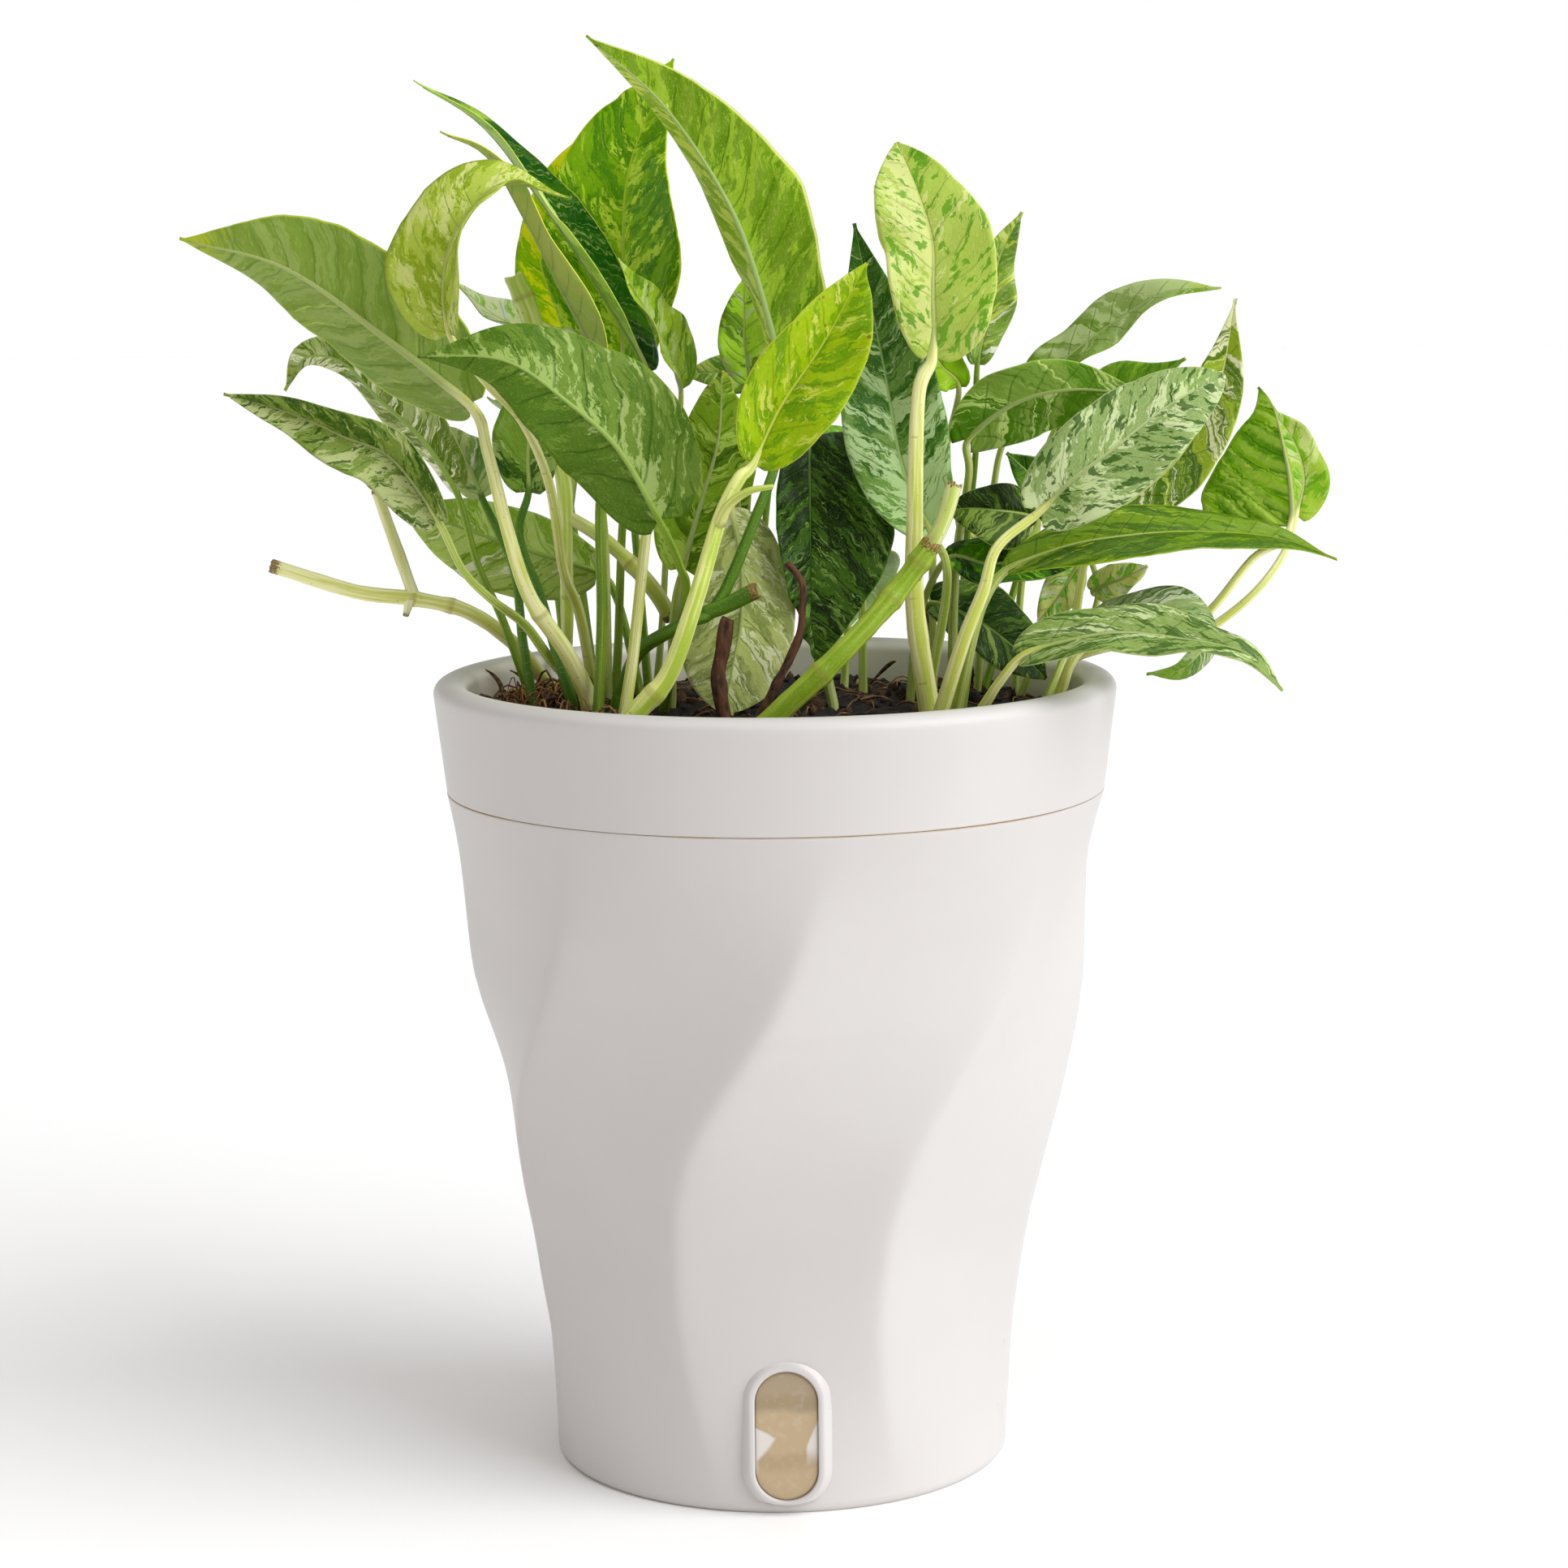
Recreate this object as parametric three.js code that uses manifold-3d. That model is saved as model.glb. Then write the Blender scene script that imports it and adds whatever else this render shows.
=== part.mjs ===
// A marble-leaved vining house plant in a white self-watering pot with a twisted, faceted body.
// Millimetres, +Z up. The origin is the centre of the pot's foot, and -Y is the front, with the water window.
import * as THREE from "three";
import { mergeVertices } from "three/addons/utils/BufferGeometryUtils.js";
import Module from "manifold-3d";

const wasm = await Module();
wasm.setup();

// Outer pot: height, radius at the creases, azimuth of one crease in degrees, and how flat the facets are.
const FACETS = 8;
const BODY = [
  [0, 49.6, -14.8, 0],
  [1.2, 50.8, -15, 0.05],
  [5, 51.3, -15.5, 0.15],
  [17, 52.8, -18.8, 0.4],
  [30, 54.5, -21.4, 0.62],
  [42, 56.6, -22.6, 0.8],
  [54, 58.7, -22.3, 0.95],
  [66, 61.3, -21.2, 0.97],
  [80, 64.2, -17.6, 0.96],
  [92, 66.3, -11.6, 0.98],
  [105, 68.3, -4.4, 1],
  [113, 69.1, -0.3, 0.98],
  [122, 69.5, 3, 0.83],
  [132, 70, 5.6, 0.5],
  [140, 70.8, 7.6, 0.24],
  [150.2, 72.5, 11, 0],
];
const STEPS_PER_FACET = 4;
const BODY_CAVITY = [
  [70.1, 150.2],
  [68.2, 144],
  [64.0, 131],
  [60.3, 105],
  [57.3, 80],
  [52.9, 54],
  [48.6, 17],
  [47.5, 3],
];

// Water window: an upright oblong pane in a raised ring on the front of the foot.
const WINDOW_X = 1.1;
const WINDOW_LOW = 3.5;
const WINDOW_HIGH = 32.2;
const WINDOW_WIDTH = 13.5;
const BEZEL_WIDTH = 3.2;
const BEZEL_FRONT = 53.2;
const BEZEL_TILT = 3;
const BEZEL_DEPTH = 4;
const BEZEL_ROUNDING = 0.8;
const PANE_THICKNESS = 1.6;
const PANE_RECESS = 1.6;
const GAP = 0.3;

// Planter: its collar sits on the outer pot's rim, its bowl holds the soil, and its foot stands in the water.
const RIM_RADIUS = 75;
const RIM_HEIGHT = 175;
const COLLAR_LOW = 150.5;
const PLANTER = [
  [0, 4],
  [18, 4],
  [18.6, 42],
  [46, 42],
  [52, 54],
  [56.6, 80],
  [59.6, 105],
  [63.2, 131],
  [67.4, 144],
  [69.5, COLLAR_LOW],
  [72.4, COLLAR_LOW],
  [74.8, RIM_HEIGHT - 4.5],
  [RIM_RADIUS, RIM_HEIGHT - 2.6],
  [74.2, RIM_HEIGHT - 0.9],
  [71.6, RIM_HEIGHT],
  [69, RIM_HEIGHT - 0.6],
  [67.6, RIM_HEIGHT - 2.8],
  [67.2, COLLAR_LOW],
  [65.3, 144],
  [61.2, 131],
  [57.6, 105],
  [54.6, 80],
  [50, 54],
  [44.6, 44],
  [16.6, 44],
  [16, 6],
  [0, 6],
];
const SOIL_HEIGHT = 166;
const SOIL = [
  [0, 6.4],
  [15.6, 6.4],
  [16.2, 44.4],
  [44.2, 44.4],
  [49.6, 54],
  [54.2, 80],
  [57.2, 105],
  [60.8, 131],
  [64.9, 144],
  [66.8, COLLAR_LOW],
  [67, SOIL_HEIGHT - 1],
  [50, SOIL_HEIGHT],
  [0, SOIL_HEIGHT + 1],
];
const TURNS = 32;

// Leaves and stems: blades wider than WIDE_LEAF are divided into twice as many columns, a petiole or rod has
// a ring about every STEP, and a margin has WAVES waves of height WAVE.
const BLADE_THICKNESS = 0.7;
const BLADE_ROWS = 7;
const WIDE_LEAF = 22;
const ROOT_LOW = 161;
const PETIOLE_STEP = 16;
const ROD_STEP = 12;
const STEPS = 30;
const TIP_WIDTH = 0.45;
const WAVE = 0.9;
const WAVES = 2.2;
const ROOT_CLEARANCE = 1.5;
const HOLE_CLEARANCE = 0.6;
const HOLE_SIDES = 6;
const VIEW_SIDE = [0, -0.97, 0.25];
const SKY_SIDE = [0, 0, 1];

// Each leaf: points of its petiole from the soil up, points of its midrib from the base to the tip, the
// widths of its left and right halves, the turn of its upper side away from the front about the midrib, the
// rise of its halves, where each half is widest, how drawn out its tip is, how far its base lobes reach back,
// and its petiole's radii. A leaf at the back has its upper side towards the sky instead of the front.
const LEAVES = {
  far_left: {
    petiole: [
      [-40, -14, 170], [-41, -15, 174], [-45, -19, 183],
      [-52, -24, 195], [-56, -28, 209], [-60, -28, 226],
    ],
    midrib: [[-64, -24, 236], [-83, -18, 251], [-104, -12, 265], [-127, -6, 271]],
    halves: [15.5, 18], roll: 138, fold: 22, bellies: [0.4, 0.4], point: 1.1, lobe: 4,
    stalk: [2.3, 1.7], look: "underside",
  },
  folded_pale: {
    petiole: [
      [-40, 9, 168], [-43, 5, 188], [-46, -4, 199],
      [-48, -14, 218], [-53, -22, 232], [-60, -31, 241],
    ],
    midrib: [[-67, -33, 251], [-68, -34, 262], [-65, -32, 273], [-56, -24, 282], [-43, -14, 279]],
    halves: [14, 13], roll: -47, fold: 25, bellies: [0.36, 0.3], point: 1.7, lobe: 2,
    stalk: [1.3, 1.1], look: "pale",
  },
  front_left: {
    petiole: [[-24, -8, 170], [-19, -20, 194], [-20, -28, 202]],
    midrib: [[-24, -34, 212], [-32, -38, 227], [-42, -42, 237], [-55, -44, 246], [-73, -42, 247]],
    halves: [17.5, 11.5], roll: 180, fold: 15, bellies: [0.26, 0.3], point: 1.15, lobe: 6,
    stalk: [1.2, 1.1], look: "underside",
  },
  top: {
    petiole: [
      [-34, -8, 170], [-33, -9, 173], [-29, -14, 182], [-19, -24, 189],
      [-12, -24, 193], [-3, -22, 213], [1, -18, 224],
    ],
    midrib: [[3, -16, 238], [-3, -12, 263], [-10, -8, 280], [-23, -6, 299], [-39, -6, 313]],
    halves: [15.5, 15.5], roll: 130, fold: 30, bellies: [0.35, 0.35], point: 1.1, lobe: 3,
    stalk: [1.9, 1.3], look: "green",
    spur: { points: [[-15, -24, 191], [-10, -25, 193], [-4, -26, 196]], radii: [1.6, 1.8] },
  },
  tall_marbled: {
    petiole: [[-32, -26, 171], [-30, -24, 184], [-27, -18, 210], [-25, 4, 223], [-27, 18, 233]],
    midrib: [[-33, 25, 241], [-33, 25, 265], [-31, 24, 286], [-21, 20, 309]],
    halves: [19, 19], roll: -30, fold: 17, bellies: [0.38, 0.38], point: 1, lobe: 3,
    stalk: [1.5, 1.1], look: "marbled",
  },
  lime_behind: {
    petiole: [
      [-38, -20, 170], [-37, -18, 190], [-37, -14, 215],
      [-34, -5, 221], [-34, 8, 227], [-38, 26, 234],
    ],
    midrib: [[-41, 34, 239], [-45, 38, 260], [-44, 38, 280], [-37, 36, 296]],
    halves: [13, 13], roll: 0, fold: 12, bellies: [0.4, 0.4], point: 1, lobe: 2,
    stalk: [1.35, 1.1], look: "lime",
  },
  long_dark: {
    petiole: [[-36, 15, 168], [-35, 14, 179], [-33, 11, 212], [-29, 8, 230]],
    midrib: [[-27, 4, 241], [-38, 2, 261], [-51, -2, 281], [-62, -4, 295], [-76, -6, 304]],
    halves: [13, 13], roll: 72, fold: 18, bellies: [0.33, 0.33], point: 1.4, lobe: 2,
    stalk: [1.2, 1], look: "dark",
  },
  edge_on_pale: {
    petiole: [[-37, 6, 168], [-37, 3, 203], [-38, -5, 224]],
    midrib: [[-37, -10, 243], [-45, -14, 261], [-52, -16, 275], [-60, -14, 288], [-70, -12, 293]],
    halves: [7, 7], roll: 100, fold: 20, bellies: [0.3, 0.3], point: 1.2, lobe: 2,
    stalk: [1.1, 0.9], look: "pale",
  },
  lime_sliver: {
    petiole: [[-27, 17, 166], [-25, 16, 186], [-23, 17, 215]],
    midrib: [[-20, 7, 237], [-24, -2, 249], [-29, -4, 258], [-33, -4, 266]],
    halves: [8, 9], roll: 60, fold: 20, bellies: [0.35, 0.35], point: 1, lobe: 1,
    stalk: [1, 0.8], look: "lime",
  },
  foreshortened: {
    petiole: [[-46, 20, 169], [-47, 19, 182], [-47, 19, 197], [-44, 16, 219]],
    midrib: [[-41, 15, 239], [-53, 20, 248], [-63, 22, 254], [-71, 23, 261]],
    halves: [9.5, 9.5], roll: 60, fold: 15, bellies: [0.35, 0.35], point: 1, lobe: 2,
    stalk: [1.1, 0.9], look: "pale",
  },
  dark_behind_left: {
    petiole: [[-44, -12, 170], [-48, -11, 184], [-51, -11, 195], [-54, -11, 203], [-55, -8, 209]],
    midrib: [[-53, -7, 216], [-53, -6, 224], [-52, -5, 235], [-49, -4, 243]],
    halves: [8, 8], roll: 0, fold: 20, bellies: [0.4, 0.4], point: 1, lobe: 2,
    stalk: [1.3, 1.1], look: "dark",
  },
  small_upright: {
    petiole: [[-9, 16, 166], [-7, 18, 197], [-5, 18, 222]],
    midrib: [[-5, 15, 238], [-6, 13, 247], [-6, 11, 261]],
    halves: [6, 6], roll: 0, fold: 10, bellies: [0.4, 0.4], point: 0.8, lobe: 1,
    stalk: [1, 0.8], look: "green",
  },
  dark_level: {
    petiole: [[-5, 22, 165], [-2, 24, 205]],
    midrib: [[1, 22, 238], [-9, 20, 240], [-20, 18, 240]],
    halves: [5, 5], roll: 0, fold: 10, bellies: [0.4, 0.4], point: 1, lobe: 1,
    stalk: [1, 0.8], look: "dark",
  },
  grey_upright: {
    petiole: [[-23, 0, 168], [-22, 0, 188]],
    midrib: [[-20, 3, 198], [-16, 7, 212], [-12, 8, 226], [-11, 12, 241]],
    halves: [10.5, 10.5], roll: 180, fold: 8, bellies: [0.35, 0.4], point: 0.7, lobe: 3,
    stalk: [1.3, 1.1], look: "underside",
  },
  hanging_pale: {
    petiole: [[-10, -10, 170], [-9, -5, 188], [-8, 3, 203], [-8, 4, 211], [-8, 0, 215]],
    midrib: [[-9, -5, 212], [-7, -9, 201], [-7, -14, 189], [-9, -18, 179], [-11, -20, 169]],
    halves: [12, 12], roll: 180, fold: 10, bellies: [0.7, 0.7], point: 0.6, lobe: 1,
    stalk: [1.2, 1], look: "pale_underside",
  },
  front_lime: {
    petiole: [[-29, -48, 173], [-22, -48, 181], [-16, -48, 197], [-11, -44, 213], [-7, -42, 221]],
    midrib: [[-4, -40, 224], [2, -38, 236], [11, -36, 249], [20, -32, 265]],
    halves: [12, 12], roll: 15, fold: 32, bellies: [0.36, 0.4], point: 0.85, lobe: 2,
    stalk: [2.4, 1.6], look: "lime",
    spur: { points: [[-11, -45, 212], [-9, -47, 216], [-5, -49, 219], [0, -50, 220]], radii: [1.3, 0.8] },
  },
  drooping_dark: {
    petiole: [[13, 2, 167], [11, 6, 178], [10, 10, 197], [9, 8, 219]],
    midrib: [[8, 2, 227], [8, -6, 216], [8, -10, 202], [8, -12, 189], [9, -12, 179]],
    halves: [19, 8], roll: -10, fold: 15, bellies: [0.35, 0.35], point: 0.8, lobe: 3,
    stalk: [1.3, 1.1], look: "dark",
  },
  white_streaked: {
    petiole: [[34, -10, 168], [34, -11, 174], [37, -14, 192], [37, -16, 201]],
    midrib: [[34, -14, 207], [28, -10, 221], [24, -8, 243], [18, -4, 273]],
    halves: [12, 12], roll: 0, fold: 20, bellies: [0.35, 0.35], point: 1.1, lobe: 3,
    stalk: [1.3, 1.1], look: "dark",
  },
  tall_pale: {
    petiole: [[33, -28, 170], [30, -28, 192], [30, -27, 211], [31, -24, 237]],
    midrib: [[34, -22, 245], [34, -22, 258], [34, -20, 269], [31, -16, 280], [27, -10, 290]],
    halves: [11, 13.8], roll: 5, fold: 10, bellies: [0.62, 0.32], point: 0.8, lobe: 3,
    stalk: [2.5, 1.9], look: "pale",
  },
  narrow_behind: {
    petiole: [[42, 27, 166], [43, 24, 196], [45, 14, 222]],
    midrib: [[45, 6, 242], [48, 8, 254], [50, 10, 265], [55, 10, 275]],
    halves: [6, 5], roll: 20, fold: 20, bellies: [0.4, 0.4], point: 1, lobe: 1,
    stalk: [1, 0.8], look: "dark",
  },
  lime_low: {
    petiole: [[36, 26, 164], [36, 23, 207], [39, 16, 225]],
    midrib: [[41, 8, 237], [37, 6, 242], [31, 4, 251]],
    halves: [5, 5], roll: 0, fold: 10, bellies: [0.4, 0.4], point: 0.8, lobe: 1,
    stalk: [1, 0.8], look: "lime",
  },
  upper_right: {
    petiole: [[46, 30, 165], [48, 30, 195], [50, 28, 215], [52, 26, 224]],
    midrib: [[57, 22, 234], [66, 21, 243], [77, 20, 251], [87, 16, 257], [99, 12, 258]],
    halves: [8, 8], roll: -45, fold: 12, bellies: [0.38, 0.38], point: 1.1, lobe: 2,
    stalk: [1, 0.9], look: "green",
  },
  right_level: {
    petiole: [[39, 2, 168], [40, 3, 198], [43, 4, 218]],
    midrib: [[43, 4, 226], [53, 0, 234], [65, -4, 237], [80, -8, 236]],
    halves: [10.5, 8], roll: -150, fold: 15, bellies: [0.35, 0.3], point: 0.9, lobe: 7,
    stalk: [1.2, 1], look: "underside",
  },
  front_right: {
    petiole: [[35, -36, 171], [40, -38, 187], [44, -38, 197], [47, -37, 206]],
    midrib: [[56, -34, 213], [63, -36, 220], [71, -36, 226], [83, -34, 235], [95, -30, 241]],
    halves: [10.5, 11.5], roll: 0, fold: 12, bellies: [0.36, 0.4], point: 0.65, lobe: 5,
    stalk: [1.8, 1.3], look: "pale",
  },
  right_long: {
    petiole: [[39, -24, 170], [42, -26, 185], [45, -26, 194]],
    midrib: [
      [50, -24, 200], [63, -24, 205], [78, -22, 207],
      [93, -18, 207], [109, -14, 205], [122, -10, 200],
    ],
    halves: [8, 9], roll: -40, fold: 10, bellies: [0.35, 0.35], point: 1.2, lobe: 3,
    stalk: [1.5, 1.3], look: "green",
  },
  right_pointed: {
    petiole: [[62, -10, 172], [65, -12, 187], [67, -12, 199]],
    midrib: [[70, -9, 208], [79, -6, 214], [89, -4, 223], [97, -2, 237], [101, 2, 256]],
    halves: [9, 9], roll: -15, fold: 15, bellies: [0.35, 0.35], point: 1.2, lobe: 2,
    stalk: [1.2, 1], look: "marbled",
  },
  ribbed: {
    petiole: [
      [62, -16, 173], [64, -17, 179], [68, -17, 183], [78, -16, 185],
      [90, -15, 187], [95, -16, 191], [103, -16, 201], [109, -13, 204],
    ],
    midrib: [[112, -8, 207], [112, -6, 216], [111, -4, 223], [109, -2, 232], [106, 0, 237]],
    halves: [14, 20], roll: 212, fold: 48, bellies: [0.3, 0.14], point: 1.1, lobe: 1,
    stalk: [1.2, 1], look: "green",
  },
  far_right: {
    petiole: [
      [63, 6, 170], [66, 6, 177], [80, 4, 181], [92, 0, 183],
      [97, 0, 185], [106, 2, 192], [113, 8, 200],
    ],
    midrib: [[116, 12, 208], [118, 15, 216], [116, 18, 224], [111, 20, 231]],
    halves: [8, 6], roll: 10, fold: 10, bellies: [0.35, 0.28], point: 0.8, lobe: 3,
    stalk: [1.25, 1], look: "lime",
  },
  lower_right: {
    petiole: [[44, -40, 173], [47, -42, 178]],
    midrib: [
      [52, -44, 184], [60, -46, 187], [71, -48, 189],
      [83, -50, 188], [97, -52, 185], [105, -52, 177],
    ],
    halves: [7.5, 6.5], roll: -35, fold: 8, bellies: [0.3, 0.3], point: 1, lobe: 5,
    stalk: [1.3, 1.2], look: "pale",
  },
  curled_right: {
    petiole: [[58, -26, 172], [63, -24, 183]],
    midrib: [
      [69, -20, 188], [79, -22, 192], [88, -24, 190],
      [92, -26, 185], [87, -28, 179], [79, -30, 178],
    ],
    halves: [6, 6], roll: -50, fold: 10, bellies: [0.35, 0.35], point: 1, lobe: 2,
    stalk: [1, 0.8], look: "green",
  },
  low_dark_right: {
    petiole: [[34, 20, 168], [34, 18, 182]],
    midrib: [[35, 12, 189], [45, 14, 185], [53, 16, 179], [61, 18, 171]],
    halves: [9, 9], roll: -20, fold: 10, bellies: [0.4, 0.4], point: 0.8, lobe: 3,
    stalk: [1.2, 1], look: "dark",
  },
  under_right: {
    petiole: [[30, 10, 167], [32, 8, 186]],
    midrib: [[38, 0, 200], [47, -2, 199], [60, -3, 200], [72, -3, 202]],
    halves: [7, 7], roll: -30, fold: 10, bellies: [0.4, 0.4], point: 1, lobe: 2,
    stalk: [1.2, 1], look: "dark",
  },
  middle_right: {
    petiole: [[41, -8, 169], [44, -14, 189], [50, -14, 199]],
    midrib: [[58, 0, 208], [46, -2, 211], [38, -2, 211]],
    halves: [9.5, 6], roll: 10, fold: 10, bellies: [0.4, 0.4], point: 0.8, lobe: 2,
    stalk: [1.1, 0.9], look: "grey",
  },
  back_low_right: {
    petiole: [[56, 22, 168], [64, 25, 188]],
    midrib: [[69, 20, 207], [61, 18, 214], [52, 16, 222]],
    halves: [6, 6], roll: 0, fold: 10, bellies: [0.4, 0.4], point: 1, lobe: 2,
    stalk: [1.1, 0.9], look: "dark",
  },
  small_marbled: {
    petiole: [[64, 14, 169], [66, 13, 176], [72, 12, 189], [70, 8, 199]],
    midrib: [[67, 4, 198], [63, 2, 192], [58, 0, 186]],
    halves: [4.5, 4.5], roll: 0, fold: 10, bellies: [0.4, 0.4], point: 0.8, lobe: 1,
    stalk: [0.9, 0.8], look: "marbled",
    twin: {
      midrib: [[71, 11.5, 191], [73, 8, 193], [77, 4, 195], [82, 0, 198]],
      halves: [4, 4], roll: 0, fold: 10, bellies: [0.4, 0.4], point: 0.8, lobe: 1,
      stalk: [0.9, 0.8],
    },
  },
  left_low: {
    petiole: [
      [-42, -3, 169], [-43, -4, 172], [-49, -9, 180],
      [-54, -14, 188], [-60, -22, 194], [-66, -26, 201],
    ],
    midrib: [[-71, -28, 212], [-80, -30, 225], [-90, -32, 230], [-101, -32, 235], [-115, -30, 239]],
    halves: [8.5, 9], roll: -20, fold: 40, bellies: [0.3, 0.3], point: 1, lobe: 4,
    stalk: [1.3, 1.1], look: "marbled",
  },
  left_hooked: {
    petiole: [[-55, 8, 171], [-60, 4, 187], [-65, 0, 200]],
    midrib: [
      [-69, -3, 216], [-76, 0, 227], [-86, 4, 236],
      [-94, 5, 244], [-102, 4, 245], [-106, 0, 238],
    ],
    halves: [7.5, 7], roll: 140, fold: 25, bellies: [0.35, 0.35], point: 1, lobe: 2,
    stalk: [1.1, 1], look: "underside",
  },
  left_small_dark: {
    petiole: [[-53, -6, 170], [-55, -5, 183], [-57, -2, 199]],
    midrib: [[-64, 4, 214], [-67, 6, 221], [-71, 7, 226], [-75, 8, 229]],
    halves: [6, 6], roll: 20, fold: 15, bellies: [0.4, 0.4], point: 0.9, lobe: 1,
    stalk: [1.3, 1.1], look: "dark",
  },
  left_back: {
    petiole: [[-30, 16, 167], [-33, 22, 180], [-36, 26, 190]],
    midrib: [[-40, 27, 195], [-54, 25, 200], [-68, 23, 205], [-83, 20, 211]],
    halves: [8.5, 12], roll: 165, fold: 10, bellies: [0.45, 0.45], point: 0.8, lobe: 3,
    stalk: [1.2, 1], look: "underside",
  },
  back_sliver: {
    petiole: [[55, 30, 165], [57, 36, 194]],
    midrib: [[64, 34, 226], [77, 32, 235], [86, 30, 238], [93, 28, 242]],
    halves: [6, 6], roll: -20, fold: 10, bellies: [0.4, 0.4], point: 1.1, lobe: 2,
    stalk: [1.1, 0.9], look: "green",
  },
  back_a: {
    petiole: [[-41, 30, 168]],
    midrib: [[-49, 42, 224], [-57, 56, 227], [-60, 74, 230]],
    halves: [12, 12], roll: 20, fold: 10, bellies: [0.4, 0.4], point: 1, lobe: 3,
    stalk: [1.2, 1], look: "green", sky: true,
  },
  back_b: {
    petiole: [[20, 26, 166]],
    midrib: [[20, 45, 220], [19, 62, 223], [18, 80, 223]],
    halves: [12, 12], roll: 0, fold: 10, bellies: [0.4, 0.4], point: 1, lobe: 3,
    stalk: [1.3, 1], look: "marbled", sky: true,
  },
  back_c: {
    petiole: [[48, 36, 166]],
    midrib: [[63, 48, 212], [68, 62, 216], [74, 78, 218]],
    halves: [10, 10], roll: 0, fold: 10, bellies: [0.4, 0.4], point: 1, lobe: 3,
    stalk: [1.2, 1], look: "green", sky: true,
  },
  back_d: {
    petiole: [[-29, 30, 168]],
    midrib: [[-35, 40, 250], [-36, 58, 257], [-36, 76, 260]],
    halves: [12, 12], roll: 0, fold: 10, bellies: [0.4, 0.4], point: 1, lobe: 3,
    stalk: [1.3, 1], look: "marbled", sky: true,
  },
  back_e: {
    petiole: [[16, 40, 168]],
    midrib: [[18, 50, 195], [18, 72, 187], [15, 88, 172]],
    halves: [12, 12], roll: 0, fold: 10, bellies: [0.4, 0.4], point: 1, lobe: 3,
    stalk: [1.2, 1], look: "green", sky: true,
  },
  back_f: {
    petiole: [[44, 46, 167]],
    midrib: [[49, 52, 200], [54, 70, 198], [58, 86, 191]],
    halves: [10, 10], roll: 0, fold: 10, bellies: [0.4, 0.4], point: 1, lobe: 3,
    stalk: [1.2, 1], look: "pale", sky: true,
  },
  back_g: {
    petiole: [[-48, 40, 169]],
    midrib: [[-52, 48, 196], [-60, 66, 196], [-69, 80, 193]],
    halves: [9, 9], roll: 0, fold: 10, bellies: [0.4, 0.4], point: 1, lobe: 3,
    stalk: [1.1, 0.9], look: "green", sky: true,
  },
};

// Cut stems, a dried stem and an aerial root: points of each rod, and its radii at the start and the end.
const STEMS = {
  old_vine: {
    look: "stem_pale",
    rods: [
      [
        [-47, 13, 168], [-46, 11, 188], [-46, 8, 199], [-46, 5, 217],
        [-50, 4, 238], [-52, 4, 252], [-56, 4, 262],
      ],
      [[-46, 6, 210], [-37, 7, 204], [-28, 6, 195], [-23, 8, 187]],
    ],
    radii: [[1.1, 1.6], [1.4, 1.9]],
  },
  runner_left: {
    look: "stem_pale",
    rods: [
      [[-53, 24, 172], [-60, 20, 181], [-69, 14, 188], [-80, 12, 191], [-93, 10, 193], [-111, 8, 199]],
      [[-80, 12, 191], [-82, 12, 197], [-85, 12, 206], [-88, 12, 215]],
    ],
    radii: [[1.7, 1.6], [1.4, 1.2]],
  },
  cut_stem_front: {
    look: "stem_green",
    rods: [
      [[0, -46, 172], [11, -46, 182], [21, -42, 192], [29, -38, 200], [32, -36, 207]],
      [[29, -38, 200], [35, -37, 210], [38, -36, 219]],
    ],
    radii: [[2.4, 2.3], [1.9, 1.6]],
  },
  aerial_root: {
    look: "bark",
    rods: [[[-11, -27, 170], [-12, -27, 178], [-11, -27, 184], [-10, -27, 190]]],
    radii: [[1.4, 1.6]],
  },
  dried_stem: {
    look: "bark",
    rods: [[[-3, -32, 170], [0, -32, 176], [5, -31, 186], [6, -30, 192], [6, -29, 198], [3, -28, 202]]],
    radii: [[1.1, 0.7]],
  },
};

const LOOKS = {
  underside: [0x7f9a63, 0.55],
  green: [0x5d8a2c, 0.45],
  pale: [0xb9c985, 0.5],
  pale_underside: [0xa9b98a, 0.6],
  marbled: [0x5f8c3a, 0.45],
  lime: [0xa8c81e, 0.45],
  dark: [0x2f5a26, 0.4],
  grey: [0x62806a, 0.5],
  stem_pale: [0xc3cc6e, 0.5],
  stem_green: [0x9dba4a, 0.45],
  bark: [0x5b3a22, 0.8],
  white_plastic: [0xeeece9, 0.38],
  tinted_pane: [0xc2ab88, 0.2],
  soil: [0x3d2b1d, 1],
};

function vector(point) {
  return new THREE.Vector3(...point);
}

function curveThrough(points) {
  const curve = new THREE.CatmullRomCurve3(points.map(vector), false, "catmullrom", 0.5);
  curve.arcLengthDivisions = STEPS * (points.length - 1);
  return curve;
}

// Rings of equal length joined to one closed surface. Each ring runs along its top from left to right and
// back below, and both faces are split along the same diagonals.
function skin(rings) {
  const count = rings[0].length;
  const half = count / 2;
  const index = [];
  for (let i = 0; i + 1 < rings.length; i++) {
    for (let k = 0; k < count; k++) {
      const a = i * count + k;
      const b = i * count + ((k + 1) % count);
      const c = b + count;
      const d = a + count;
      if (k < half) index.push(a, b, c, a, c, d);
      else index.push(a, b, d, b, c, d);
    }
  }
  const last = (rings.length - 1) * count;
  for (let k = 0; k + 1 < half; k++) {
    const low = count - 1 - k;
    index.push(low, low - 1, k, low - 1, k + 1, k);
    index.push(last + k, last + k + 1, last + low, last + k + 1, last + low - 1, last + low);
  }
  return indexed(rings.flat(), index);
}

function indexed(points, index) {
  const geometry = new THREE.BufferGeometry().setFromPoints(points);
  geometry.setIndex(index);
  return geometry;
}

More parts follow.
